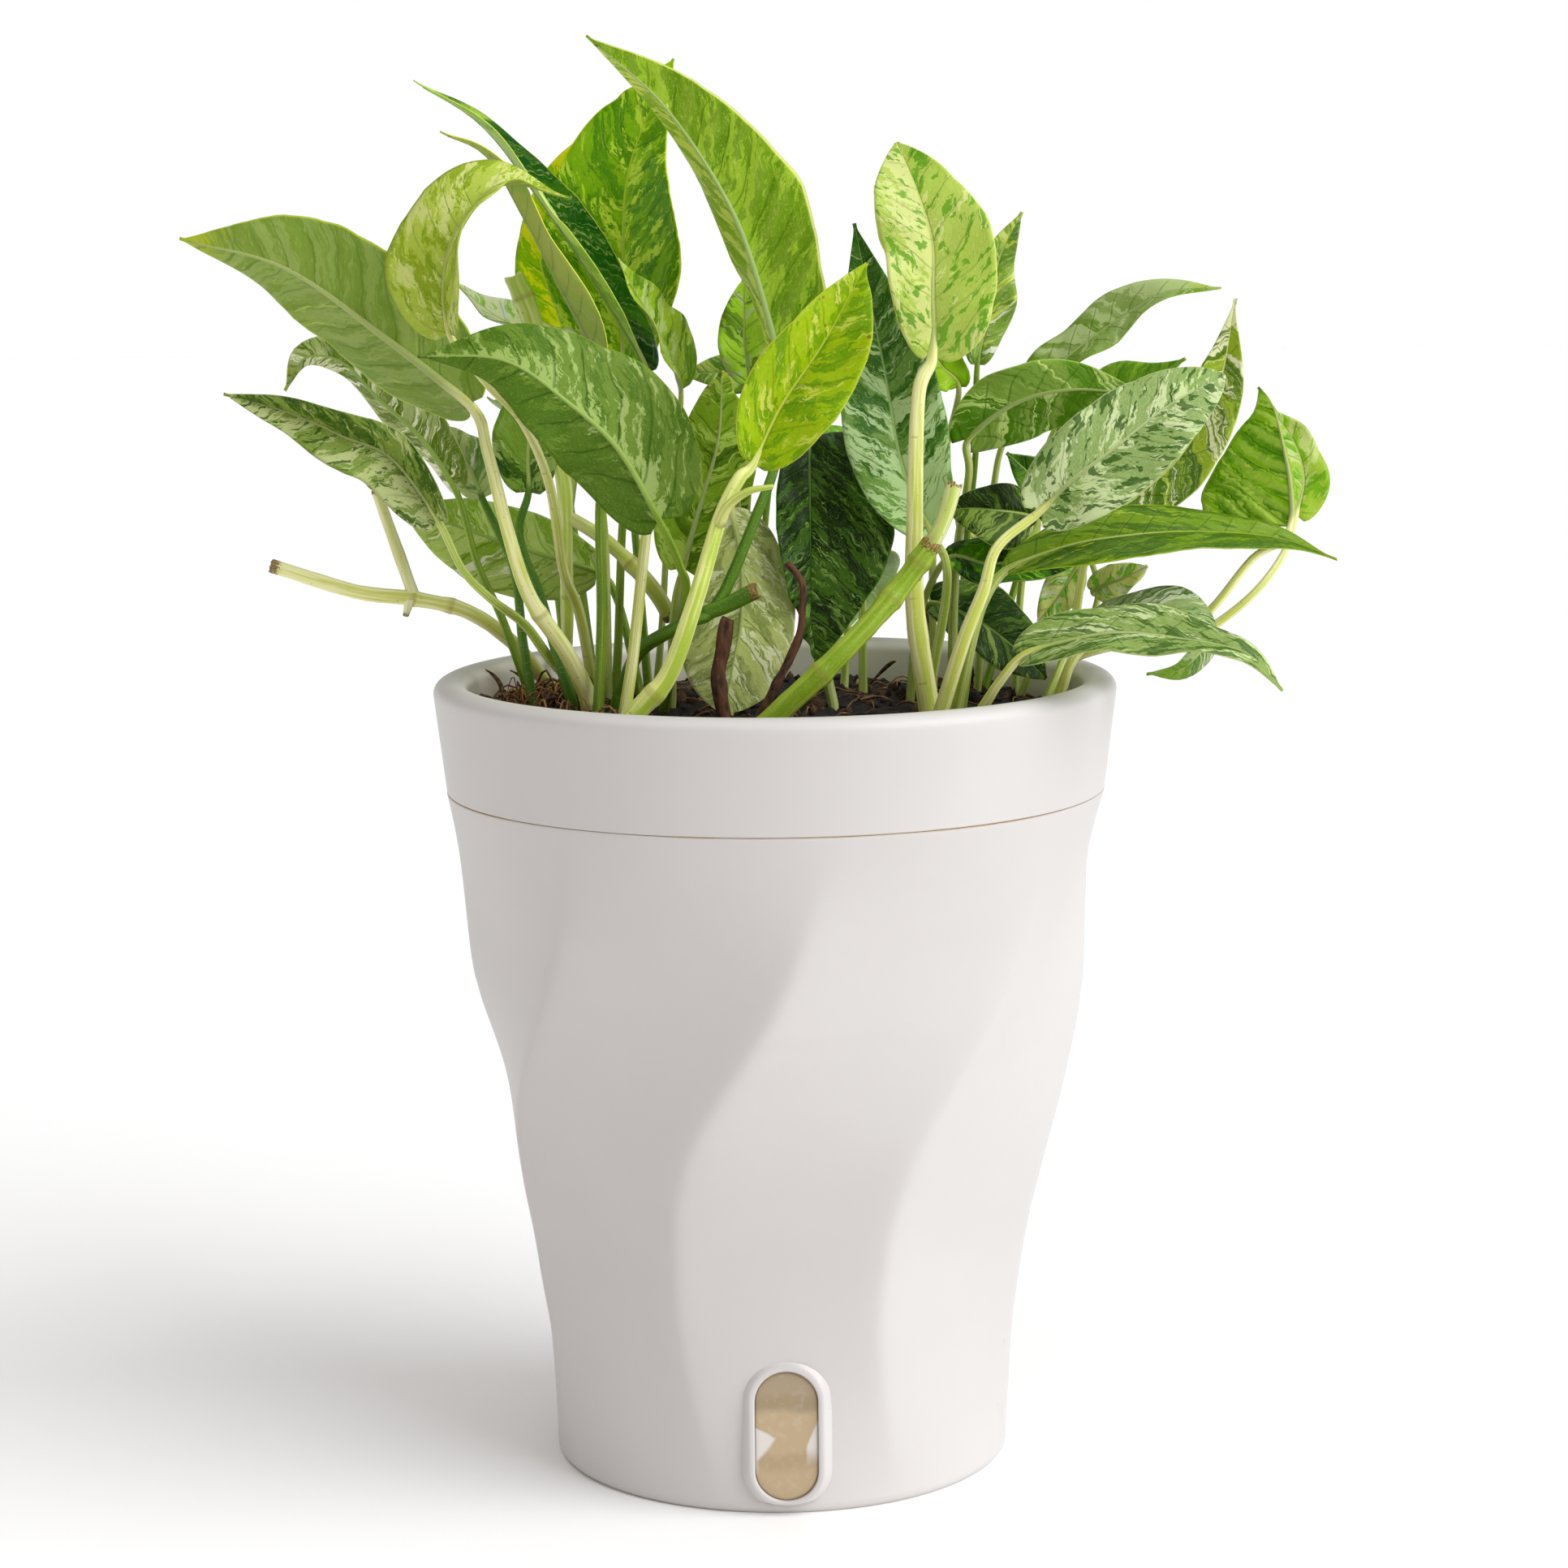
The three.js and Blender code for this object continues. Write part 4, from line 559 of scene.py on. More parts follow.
# Each leaf's marbling, where it differs from LEAF_SETTINGS. The spacing of its side veins is the leaf's.
MARBLING = {
    "far_left": dict(
        ground="#748f30", sage="#8da352", pale="#acb959", sage_share=0.5, pale_share=0.15, flecks=0.12,
        size=0.7, stretch=6, vein="#657e24", veining=0.35, ridge_light=0.12, rib="#aabb5f", margin="#bbce2b",
        tip="#aebc23", tip_start=0.82, seen_side=-1, other_side="#629615",
    ),
    "folded_pale": dict(
        ground="#81990d", sage="#aabb44", pale="#c5cc77", sage_share=0.51, pale_share=0.45, flecks=0.35,
        stretch=1.6, veining=0.1, rib="#b2be5e", margin="#9fb328", other_side="#a2b147",
    ),
    "front_left": dict(
        ground="#47670f", sage="#66802a", pale="#98ab62", sage_share=0.33, pale_share=0.1, right=-0.06,
        along_rib=0.1, size=0.66, stretch=1.8, vein="#2e4b07", veining=0.5, rib="#7f8c3a", margin="#778f1b",
        margin_width=0.02, seen_side=-1, other_side="#436907",
    ),
    "top": dict(
        ground="#638d04", sage="#99bd2b", pale="#dee772", sage_share=0.63, pale_share=0.24, flecks=0.15,
        right=0.09, along_rib=0.04, size=0.8, stretch=2.4, vein="#557904", veining=0.5, ridge_light=0.08,
        rib="#c4d85e", margin="#e7e782", margin_width=0.04, seen_side=-1, other_side="#618e0e",
    ),
    "tall_marbled": dict(
        ground="#518d04", sage="#8abb0b", pale="#c9e744", sage_share=0.45, pale_share=0.31, flecks=0.3,
        along_rib=0.06, size=0.85, stretch=1.8, rib="#b0d534", rib_width=0.9, margin="#d3e70b",
        tip="#bae508", tip_start=0.86,
    ),
    "lime_behind": dict(
        ground="#8ec204", sage="#cde50d", pale="#e7e716", sage_share=0.37, pale_share=0.53, vein="#86b204",
        rib="#e7e710", other_side="#e7e708",
    ),
    "long_dark": dict(
        ground="#104806", sage="#63950f", pale="#cad986", sage_share=0.41, pale_share=0.24, flecks=0.2,
        right=-0.13, stretch=7, lengthwise=0.5, rib="#a7be68", margin="#dae76e", tip="#b2d146",
        tip_start=0.8, other_side="#9cc25a",
    ),
    "edge_on_pale": dict(
        ground="#c2e710", sage="#e7e741", pale="#e7e77e", sage_share=0.65, pale_share=0.28, size=0.7,
        stretch=7, lengthwise=0.6, margin="#e7e758", tip="#b3e713", tip_start=0.9,
    ),
    "lime_sliver": dict(
        ground="#527b06", sage="#9bb726", pale="#bbcb7f", sage_share=0.62, pale_share=0.42,
        margin="#c5d24e",
    ),
    "foreshortened": dict(
        ground="#8dc628", sage="#e7e7be", pale="#e7e7e7", sage_share=0.75, pale_share=0.3, flecks=0.45,
        size=0.8, stretch=2.4,
    ),
    "dark_behind_left": dict(
        ground="#234905", sage="#769530", pale="#9cb462", sage_share=0.5, pale_share=0.35,
    ),
    "small_upright": dict(
        ground="#5b8411", sage="#b1df2f", pale="#c4d09b", sage_share=0.66, pale_share=0.27,
    ),
    "dark_level": dict(ground="#678b29", sage="#b9cc5f", pale="#e7e7b3", sage_share=0.5, stretch=6),
    "grey_upright": dict(
        ground="#496c05", sage="#83a520", pale="#b2cd57", sage_share=0.57, pale_share=0.41, stretch=4,
        vein="#3e5c05", veining=0.4, rib="#9fbc46", margin="#c8cc46", tip="#c8bb3f", tip_start=0.95,
        specks=0.6, seen_side=-1,
    ),
    "hanging_pale": dict(
        ground="#86914e", sage="#b7bf70", pale="#d9dbae", sage_share=0.6, pale_share=0.42, flecks=0.25,
        size=0.9, stretch=2.5, vein="#697635", veining=0.3, rib="#e7e792", margin="#e7e7ae", specks=0.7,
        seen_side=-1, other_side="#b7ca5a",
    ),
    "front_lime": dict(
        ground="#689005", sage="#98b208", pale="#c0c652", sage_share=0.58, pale_share=0.3, flecks=0.2,
        size=0.9, stretch=1.8, vein="#587d05", veining=0.3, rib="#b0bf40", margin="#bdc540",
        margin_width=0.04, tip="#ad9e36", tip_start=0.98, specks=0.8, other_side="#abb640",
    ),
    "drooping_dark": dict(
        ground="#102207", sage="#436619", pale="#7c9e46", sage_share=0.49, pale_share=0.26, flecks=0.3,
        tipwards=0.08, size=0.42, stretch=2.8, vein="#050504", veining=0.3, rib="#305c08", rib_width=0.5,
        margin="#4b7e11",
    ),
    "white_streaked": dict(
        ground="#2c5d05", sage="#6c913e", pale="#b2cb8e", sage_share=0.51, pale_share=0.42, flecks=0.25,
        tipwards=-0.16, size=0.8, stretch=3.5, vein="#255005", rib="#92b26a", margin="#78a447",
    ),
    "tall_pale": dict(
        ground="#5f9718", sage="#afc256", pale="#cdd384", sage_share=0.9, pale_share=0.43, flecks=0.6,
        right=-0.05, along_rib=0.06, size=1.25, stretch=1.3, veining=0.12, rib="#c7d177", rib_width=1.1,
        margin="#d6db75", specks=0.25, other_side="#c3cb6d",
    ),
    "narrow_behind": dict(ground="#698e2a", sage="#c4d05b", pale="#e7e7d8", pale_share=0.15, stretch=5),
    "lime_low": dict(ground="#8fc208", sage="#a3cb1b", pale="#bfcb45", tip="#573c0c", tip_start=0.9),
    "upper_right": dict(
        ground="#6c8e1f", sage="#8fa859", pale="#b7c786", sage_share=0.64, pale_share=0.4, flecks=0.15,
        right=-0.04, size=0.85, stretch=5, lengthwise=0.5, rib="#a7bb75", margin="#9bbb37", tip="#a8bf42",
        tip_start=0.85,
    ),
    "right_level": dict(
        ground="#528505", sage="#8aa946", pale="#d1e68b", sage_share=0.49, pale_share=0.3, flecks=0.1,
        size=0.85, stretch=6, lengthwise=0.5, vein="#467305", veining=0.4, rib="#b6cd74", margin="#add057",
        seen_side=-1,
    ),
    "front_right": dict(
        ground="#2c5605", sage="#91a962", pale="#cad79f", sage_share=0.88, pale_share=0.47, flecks=0.64,
        size=0.9, stretch=1.8, vein="#254905", veining=0.1, rib="#b2c388", margin="#b3c780",
    ),
    "right_long": dict(
        ground="#3d6108", sage="#6e8e19", pale="#aabb3f", sage_share=0.46, pale_share=0.12, flecks=0.1,
        tipwards=-0.08, size=0.8, stretch=7, lengthwise=0.8, rib="#94a82f", margin="#a0b91d", tip="#a98516",
        tip_start=0.96,
    ),
    "right_pointed": dict(
        ground="#4a6e10", sage="#9cb32e", pale="#e7e7b6", sage_share=0.54, pale_share=0.47, flecks=0.35,
        tipwards=0.05, size=0.8, stretch=5, lengthwise=0.5, rib="#e0e785", margin="#e7e79b",
    ),
    "ribbed": dict(
        ground="#4c8004", sage="#7eab12", pale="#a7c647", sage_share=0.5, pale_share=0.39, flecks=0.1,
        vein="#416e04", veining=0.45, ridge_light=0.55, rib="#96ba37", rib_width=0.9, margin="#95b52e",
        specks=0.25, seen_side=-1,
    ),
    "far_right": dict(
        ground="#6aa405", sage="#9bb635", pale="#bbc778", sage_share=0.5, pale_share=0.5, flecks=0.3,
        size=1.1, stretch=2, margin="#a2c02e",
    ),
    "lower_right": dict(
        ground="#385c10", sage="#89a053", pale="#c7d49c", sage_share=0.9, pale_share=0.42, flecks=0.74,
        size=0.55, stretch=6, lengthwise=0.75, rib="#a6b775", margin="#b9c57a", tip="#88a546",
        tip_start=0.85,
    ),
    "curled_right": dict(
        ground="#38650a", sage="#93a468", pale="#cbd0af", sage_share=0.62, pale_share=0.42, flecks=0.3,
        tipwards=-0.12, stretch=6, tip="#658708", tip_start=0.75,
    ),
    "low_dark_right": dict(
        ground="#163706", sage="#577328", pale="#91a94d", sage_share=0.44, pale_share=0.25, stretch=5,
        vein="#102e06", veining=0.5, rib="#7a933f",
    ),
    "under_right": dict(
        ground="#062204", sage="#477d0a", pale="#8acf27", sage_share=0.58, pale_share=0.35, stretch=6,
    ),
    "middle_right": dict(
        ground="#061005", sage="#45601a", pale="#839b41", sage_share=0.52, pale_share=0.25, flecks=0.4,
        right=-0.06, size=0.8, stretch=8, rib="#6c8433",
    ),
    "back_low_right": dict(ground="#2c5a0b", sage="#5a8822", pale="#a3c056", pale_share=0.14),
    "small_marbled": dict(
        ground="#70c112", sage="#e7e789", pale="#e7e7cc", sage_share=0.61, pale_share=0.32, flecks=0.4,
        size=0.8,
    ),
    "left_low": dict(
        ground="#2c5005", sage="#7c913b", pale="#b4bc7d", sage_share=0.65, pale_share=0.42, flecks=0.5,
        right=-0.05, tipwards=-0.04, size=0.9, stretch=2.2, rib="#a0ad69", margin="#abba6f", specks=0.2,
    ),
    "left_hooked": dict(
        ground="#5a7205", sage="#a7b46e", pale="#e7e7c1", sage_share=0.5, pale_share=0.4, flecks=0.2,
        stretch=6, vein="#4d6305", veining=0.35, rib="#d3d49f", tip="#b7c531", tip_start=0.88, seen_side=-1,
    ),
    "left_small_dark": dict(ground="#6e8f46", sage="#bfc788", pale="#e7e7d3", sage_share=0.55, stretch=6),
    "left_back": dict(
        ground="#7a9e15", sage="#b6cc6c", pale="#e7e7c6", sage_share=0.56, pale_share=0.18, stretch=5,
        vein="#698811", veining=0.4, rib="#e7e7a7", tip="#d0e747", tip_start=0.9, seen_side=-1,
    ),
    "back_sliver": dict(ground="#5a8c19", sage="#84ac30", pale="#c2da65", stretch=5),
    "back_a": dict(ground="#5e990d", sage="#92bd35", pale="#d2e76c", pale_share=0.25),
    "back_b": dict(ground="#528c09", sage="#9dc446", pale="#e1e777", sage_share=0.5, pale_share=0.35),
    "back_c": dict(ground="#6aa510", sage="#99c438", pale="#d8e765"),
    "back_d": dict(ground="#589306", sage="#a3c745", pale="#dee76f", sage_share=0.5, pale_share=0.3),
    "back_e": dict(ground="#4c810d", sage="#87b42e", pale="#c6e161"),
    "back_f": dict(ground="#75af15", sage="#c0de5c", pale="#e7e788", sage_share=0.7, pale_share=0.4),
    "back_g": dict(ground="#5e9511", sage="#8eb833", pale="#cbe366"),
}

# Cut stems and roots: lines through the points of the main rod and its branches, their radii at both ends,
# the places of their nodes, and the finishes of the rod and the branches.
STEMS = {
    "old_vine": dict(
        rods=[
            [
                [-47, 13, 168], [-46, 11, 188], [-46, 8, 199], [-46, 5, 217],
                [-50, 4, 238], [-52, 4, 252], [-56, 4, 262],
            ],
            [[-46, 6, 210], [-37, 7, 204], [-28, 6, 195], [-23, 8, 187]],
        ],
        radii=[[1.1, 2.2], [1.4, 1.9]], nodes=[[0.3, 0.62, 0.955], [0.55]],
        skin="old", branch="old_branch", slot="stem_pale",
    ),
    "runner_left": dict(
        rods=[
            [[-53, 24, 172], [-60, 20, 181], [-69, 14, 188], [-80, 12, 191], [-93, 10, 193], [-111, 8, 199]],
            [[-80, 12, 191], [-82, 12, 197], [-85, 12, 206], [-88, 12, 215]],
            [[-81, 11, 191], [-82, 10.5, 187.5]],
        ],
        radii=[[1.7, 1.6], [1.4, 1.2], [1.2, 0.7]], nodes=[[0.52, 0.62], [], []],
        skin="runner", branch="runner_branch", slot="stem_pale",
    ),
    "cut_stem_front": dict(
        rods=[
            [[0, -46, 172], [11, -46, 182], [21, -43, 192], [28, -40, 200], [33, -40, 207]],
            [[29, -38, 200], [35, -37, 210], [38, -36, 219]],
        ],
        radii=[[2.4, 2.2], [1.9, 1.6]], nodes=[[0.45, 0.78, 0.93], []],
        skin="cut", branch="cut_branch", slot="stem_green",
    ),
    "aerial_root": dict(
        rods=[[[-11, -27, 170], [-12, -27, 178], [-11, -27, 184], [-10, -27, 190]]],
        radii=[[1.4, 1.6]], nodes=[[]], skin="bark", slot="bark",
    ),
    "dried_stem": dict(
        rods=[[[-3, -32, 170], [0, -32, 176], [5, -31, 186], [6, -30, 192], [6, -29, 198], [3, -28, 202]]],
        radii=[[1.1, 0.7]], nodes=[[0.4]], skin="bark", slot="bark",
    ),
}

# Finishes of petioles and stems: name, the two colours of the streaks, the nodes' colour, the midrib's
# colour under the blade, and how many millimetres of a cut end are brown.
STALKS = {
    "pale": ("pale_petiole", "#ebe7a8", "#c3cc55", "#a89b4a", "#9dac60"),
    "lime": ("lime_petiole", "#dfe08c", "#a9bf3c", "#a09a40", "#b9c94a"),
    "mid": ("light_green_petiole", "#c9d27c", "#94ab38", "#8c8c3c", "#a3b56a"),
    "green": ("green_petiole", "#93ac34", "#638a14", "#70782a", "#8fa94e"),
    "deep": ("dark_green_petiole", "#5c8412", "#3f6c0a", "#55641c", "#a9bf72"),
    "dim": ("pale_petiole_dark_rib", "#c3c87a", "#7c9636", "#7c7a3a", "#47652a"),
    "stub": ("dark_green_petiole_stub", "#5c8412", "#3f6c0a", "#55641c", "#a9bf72", 1.5),
    "old": ("old_vine", "#f4f8a4", "#c8dc56", "#b4ac58"),
    "old_branch": ("old_vine_branch", "#e4e69a", "#bcc850", "#8a7036", None, 1.6),
    "runner": ("runner", "#f2efb2", "#d0d268", "#a89450", None, 2.0),
    "runner_branch": ("runner_branch", "#eceabc", "#cfd07e", "#b09a5a", None, 0.5),
    "cut": ("cut_green_stem", "#a0b638", "#7c9a12", "#8f863a", None, 1.6),
    "cut_branch": ("cut_branch", "#dcdfa0", "#b4c45a", "#8f863a", None, 0.5),
}


# Curves and meshes


def smooth_line(points, places):
    """Points and directions on the cubic through all the given points, at places counted in points. Each
    stretch leaves and meets its ends along half the step between their neighbours."""
    p = np.asarray(points, float)
    p = np.vstack([2 * p[0] - p[1], p, 2 * p[-1] - p[-2]])
    k = np.clip(places.astype(int), 0, len(p) - 4)
    w = (places - k)[:, None]
    a, b, c, d = p[k], p[k + 1], p[k + 2], p[k + 3]
    leaving, meeting = (c - a) / 2, (d - b) / 2
    square = 3 * (c - b) - 2 * leaving - meeting
    cube = 2 * (b - c) + leaving + meeting
    line = b + leaving * w + square * w**2 + cube * w**3
    way = leaving + 2 * square * w + 3 * cube * w**2
    return line, way / np.linalg.norm(way, axis=1, keepdims=True)


def run_along(line):
    """The length of the way through a line's points, up to each of them."""
    steps = np.linalg.norm(np.diff(np.asarray(line, float), axis=0), axis=1)
    return np.concatenate([[0], np.cumsum(steps)])


def spread_by_length(points, shares, first=0):
    """Places on that cubic, from point number first to its end, at given shares of its length, and its
    length."""
    dense = np.linspace(first, len(points) - 1, 60 * (len(points) - 1 - first) + 1)
    line, _ = smooth_line(points, dense)
    run = run_along(line)
    return np.interp(shares * run[-1], run, dense), run[-1]


def cubic_length(points, first=0):
    """The length of that cubic from point number first to its end."""
    _, length = spread_by_length(points, np.zeros(1), first)
    return length


def carried_up(ways, up):
    """The up directions along a line, where up turns only as far as the line bends."""
    ups = []
    for way in ways:
        up = up - way * (up @ way)
        up = up / np.linalg.norm(up)
        ups.append(up)
    return np.array(ups)


def round_angles(count):
    """Even angles once round."""
    return 2 * np.pi * np.arange(count) / count


def eased(share):
    """A share from 0 to 1 that leaves 0 and meets 1 without a kink."""
    return share * share * (3 - 2 * share)


def bump(distance, reach):
    """1 at distance 0, fading away on both sides within about the reach."""
    return np.exp(-((distance / reach) ** 2))


def stacked(*values):
    """Values for each point of a grid, each given as an array or a number, side by side."""
    return np.stack(np.broadcast_arrays(*values), -1)


def turned(profile, angle):
    """A profile of radius and height carried round the axis, at angles from the front."""
    radius, high = profile[:, :1], profile[:, 1:]
    return stacked(radius * np.sin(angle), -radius * np.cos(angle), high)


def tube(centre, side, up, reach, angle):
    """Rings round a line. At each angle a point lies its reach times the cosine of the angle to the side of
    the line's point, and its reach times the sine above it."""
    rings = centre[:, None] + (reach * np.cos(angle))[..., None] * side[:, None]
    return rings + (reach * np.sin(angle))[..., None] * up[:, None]


def rows_of_rings(rows, count, first=0):
    """Quads between rings that lie one after another, each ring closed."""
    row, k = np.meshgrid(np.arange(rows - 1), np.arange(count), indexing="ij")
    a = first + row * count + k
    b = first + row * count + (k + 1) % count
    return np.stack([a, b, b + count, a + count], -1).reshape(-1, 4)


def hills(x, y, seed):
    """Smooth hills and hollows between -1 and 1: random heights on a square grid of step 1, eased between
    the four corners round each point."""
    size = 256
    heights = np.random.default_rng(seed).random((size, size)) * 2 - 1
    i, j = np.floor(x).astype(int), np.floor(y).astype(int)
    u, v = eased(x - i), eased(y - j)
    corner = lambda a, b: heights[(i + a) % size, (j + b) % size]
    near = corner(0, 0) * (1 - u) + corner(1, 0) * u
    far = corner(0, 1) * (1 - u) + corner(1, 1) * u
    return near * (1 - v) + far * v


class Shape:
    """Points, faces, marks for the materials and finish numbers, gathered for one piece."""

    def __init__(self):
        self.points, self.faces, self.finish, self.marks = [], [], [], {}
        self.count = 0

    def rings(self, rings, finish=0, caps=True, **marks):
        """Closed rings joined to a skin. With caps, each end is closed by a fan to its ring's middle."""
        rows, count = rings.shape[:2]
        points = rings.reshape(-1, 3)
        faces = rows_of_rings(rows, count, self.count).tolist()
        if caps:
            low = self.count + len(points)
            k = np.arange(count)
            after = (k + 1) % count
            last = self.count + (rows - 1) * count
            start = np.stack([np.full(count, low), self.count + after, self.count + k], 1)
            end = np.stack([np.full(count, low + 1), last + k, last + after], 1)
            faces += start.tolist() + end.tolist()
            points = np.vstack([points, rings[0].mean(0), rings[-1].mean(0)])
            marks = {
                key: np.vstack([value.reshape(-1, 3), value[0].mean(0), value[-1].mean(0)])
                for key, value in marks.items()
            }
        self.add(points, faces, finish, **{key: value.reshape(-1, 3) for key, value in marks.items()})

    def add(self, points, faces, finish=0, **marks):
        for key in set(self.marks) | set(marks):
            self.marks.setdefault(key, [np.zeros((self.count, 3))] if self.count else [])
            self.marks[key].append(marks.get(key, np.zeros((len(points), 3))))
        self.points.append(points)
        self.faces += faces
        self.finish += [finish] * len(faces)
        self.count += len(points)

    def piece(self, name, skins, replaces=()):
        """The piece itself, in metres, riding on the one body."""
        mesh = bpy.data.meshes.new(name)
        mesh.from_pydata((np.vstack(self.points) * MM).tolist(), [], self.faces)
        mesh.polygons.foreach_set("material_index", self.finish)
        mesh.polygons.foreach_set("use_smooth", [True] * len(self.faces))
        for key, parts in self.marks.items():
            layer = mesh.attributes.new(key, "FLOAT_VECTOR", "POINT")
            layer.data.foreach_set("vector", np.vstack(parts).astype(np.float32).ravel())
        mesh.update()
        made = bpy.data.objects.new(name, mesh)
        bpy.context.scene.collection.objects.link(made)
        for skin in skins:
            mesh.materials.append(skin)
        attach(made, "root")
        if replaces:
            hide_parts(*replaces)


# Leaves


def outline(t, belly, point):
    """Half-width at t along the midrib as a share of the widest: a quarter ellipse up to the belly, then a
    cosine that is drawn out to the tip."""
    rising = np.sqrt(np.clip(1 - (1 - t / belly) ** 2, 0, 1))
    falling = np.clip(np.cos(np.pi / 2 * np.clip((t - belly) / (1 - belly), 0, 1)), 0, 1) ** point
    return np.where(t < belly, rising, falling)


def blade_up(leaf, ways):
    """The upper side along the midrib: the side that the leaf looks to, squared to the midrib and turned
    about it by the roll."""
    toward = np.array(SKY_SIDE if leaf.get("sky") else VIEW_SIDE, float)
    up = toward - ways * (ways @ toward)[:, None]
    up /= np.linalg.norm(up, axis=1, keepdims=True)
    roll = math.radians(leaf["roll"])
    return up * math.cos(roll) + np.cross(ways, up) * math.sin(roll)


def rooted(points, after=None):
    """The stem's points, with one more straight on down, just under the soil."""
    start = np.array(points[0], float)
    along = start - np.array(points[1] if len(points) > 1 else after, float)
    along /= np.linalg.norm(along)
    root = start + along * (start[2] - ROOT_LOW) / -along[2]
    return [root.tolist(), *points]


def half_widths(leaf, t, s, run, order):
    """Each half's width across the blade as a share of its widest: the outline, made uneven by small hills
    and cut into by the nicks."""
    half = np.sign(s)
    belly = np.where(s < 0, leaf["bellies"][0], leaf["bellies"][1])
    share = outline(t, belly, leaf["point"])
    run = np.broadcast_to(run, share.shape)
    slow = 0.022 * hills(run / 5.5, 3 * half + 20, order)
    quick = 0.012 * hills(run / 1.9, 5 * half + 50, order)
    share = share * (1 + slow + quick)
    for place, which, depth, reach in leaf.get("nicks", ()):
        share = share * (1 - depth * bump(t - place, reach) * (s * which > 0))
    return share, belly


def blade_lift(leaf, t, s, share, across, sideways, order):
    """How far the blade rises off its midrib: the fold, the margin's waves and fine frill, the quilting
    between the side veins, the puckers, and a groove over the midrib."""
    ripple = WAVE * share * s * s * np.sin(WAVES * 2 * np.pi * t + order + 2 * s)
    frill = FRILL * share * s**4 * np.sin(19 * t + 5 * np.sign(s) + 1.7 * order)
    quilt = np.cos(2 * np.pi * across / leaf["spacing"]) * 4 * np.abs(s) * (1 - np.abs(s)) * share
    lift = np.abs(sideways) * math.sin(math.radians(leaf["fold"])) + ripple + frill + leaf["quilt"] * quilt
    pucker = hills(across / 8 + 30, sideways / 6 + 30, order + 90)
    pucker = pucker + 0.45 * hills(across / 3.4, sideways / 3 + 60, order + 190)
    lift += PUCKER * pucker * share * np.clip(np.abs(sideways) / 3, 0, 1)
    return lift - RIB_GROOVE * bump(sideways, 1.1) * (1 - t)


def add_blade(shape, leaf, order):
    """The blade: at t along the midrib and s across it, the point lies s half-widths to the side, is lifted
    off the midrib, and is drawn back at the base lobes. The lower face is the same surface, a blade's
    thickness below. Rows crowd to the base and tip, and columns to the midrib."""
    rows = int(np.clip(leaf["length"] / BLADE_ROW, 24, 84))
    half_columns = int(np.clip(max(leaf["halves"]) / BLADE_COLUMN, 7, 18))
    even = np.linspace(0, 1, rows + 1)
    t = np.sin(np.pi / 2 * even) ** 2 * 0.5 + even * 0.5
    places, length = spread_by_length(leaf["points"], t, leaf["first"])
    centre, ways = smooth_line(leaf["points"], places)
    up = blade_up(leaf, ways)
    side = np.cross(ways, up)
    even = np.linspace(-1, 1, 2 * half_columns + 1)
    s = np.sign(even) * (0.4 * np.abs(even) + 0.6 * np.abs(even) ** 1.5)
    t, s = t[:, None], s[None, :]
    share, belly = half_widths(leaf, t, s, t * length, order)
    half = np.where(s < 0, leaf["halves"][0], leaf["halves"][1])
    sideways = s * np.maximum(half * share, NARROWEST)
    across = t * length - 0.8 * np.abs(sideways) - 0.011 * sideways**2
    lift = blade_lift(leaf, t, s, share, across, sideways, order)
    back = leaf["lobe"] * np.clip(1 - t / belly, 0, 1) ** 2 * np.sqrt(share)
    slope = math.cos(math.radians(leaf["fold"]))
    spread = lambda value, way: value[..., None] * way[:, None, :]
    middle = centre[:, None] + spread(sideways * slope, side) + spread(lift, up)
    middle -= spread(back * s * s, ways)
    thick = HALF_THICKNESS * (1 - 0.55 * np.abs(s) ** 6) * np.clip(12 * (1 - t) + 0.25, 0, 1) / slope
    upper, lower = middle + spread(thick, up), middle - spread(thick, up)
    both = lambda top, bottom: np.concatenate([top, bottom[:, ::-1]], 1)
    where = both(stacked(t, s, 1.0), stacked(t, s, -1.0))
    grain = stacked(across, sideways, t * length)
    add_flat_skin(shape, both(upper, lower), where=where, grain=both(grain, grain))


def add_flat_skin(shape, rings, **marks):
    """Flattened rings joined to a skin. Both halves of the first and the last ring are joined by a strip."""
    rows, around = rings.shape[:2]
    faces = rows_of_rings(rows, around, shape.count).tolist()
    k = np.arange(around // 2 - 1)
    low = around - 1 - k
    last = (rows - 1) * around
    faces += (shape.count + np.stack([low, low - 1, k + 1, k], 1)).tolist()
    faces += (shape.count + last + np.stack([k, k + 1, low - 1, low], 1)).tolist()
    shape.add(rings.reshape(-1, 3), faces, 0, **{key: value.reshape(-1, 3) for key, value in marks.items()})


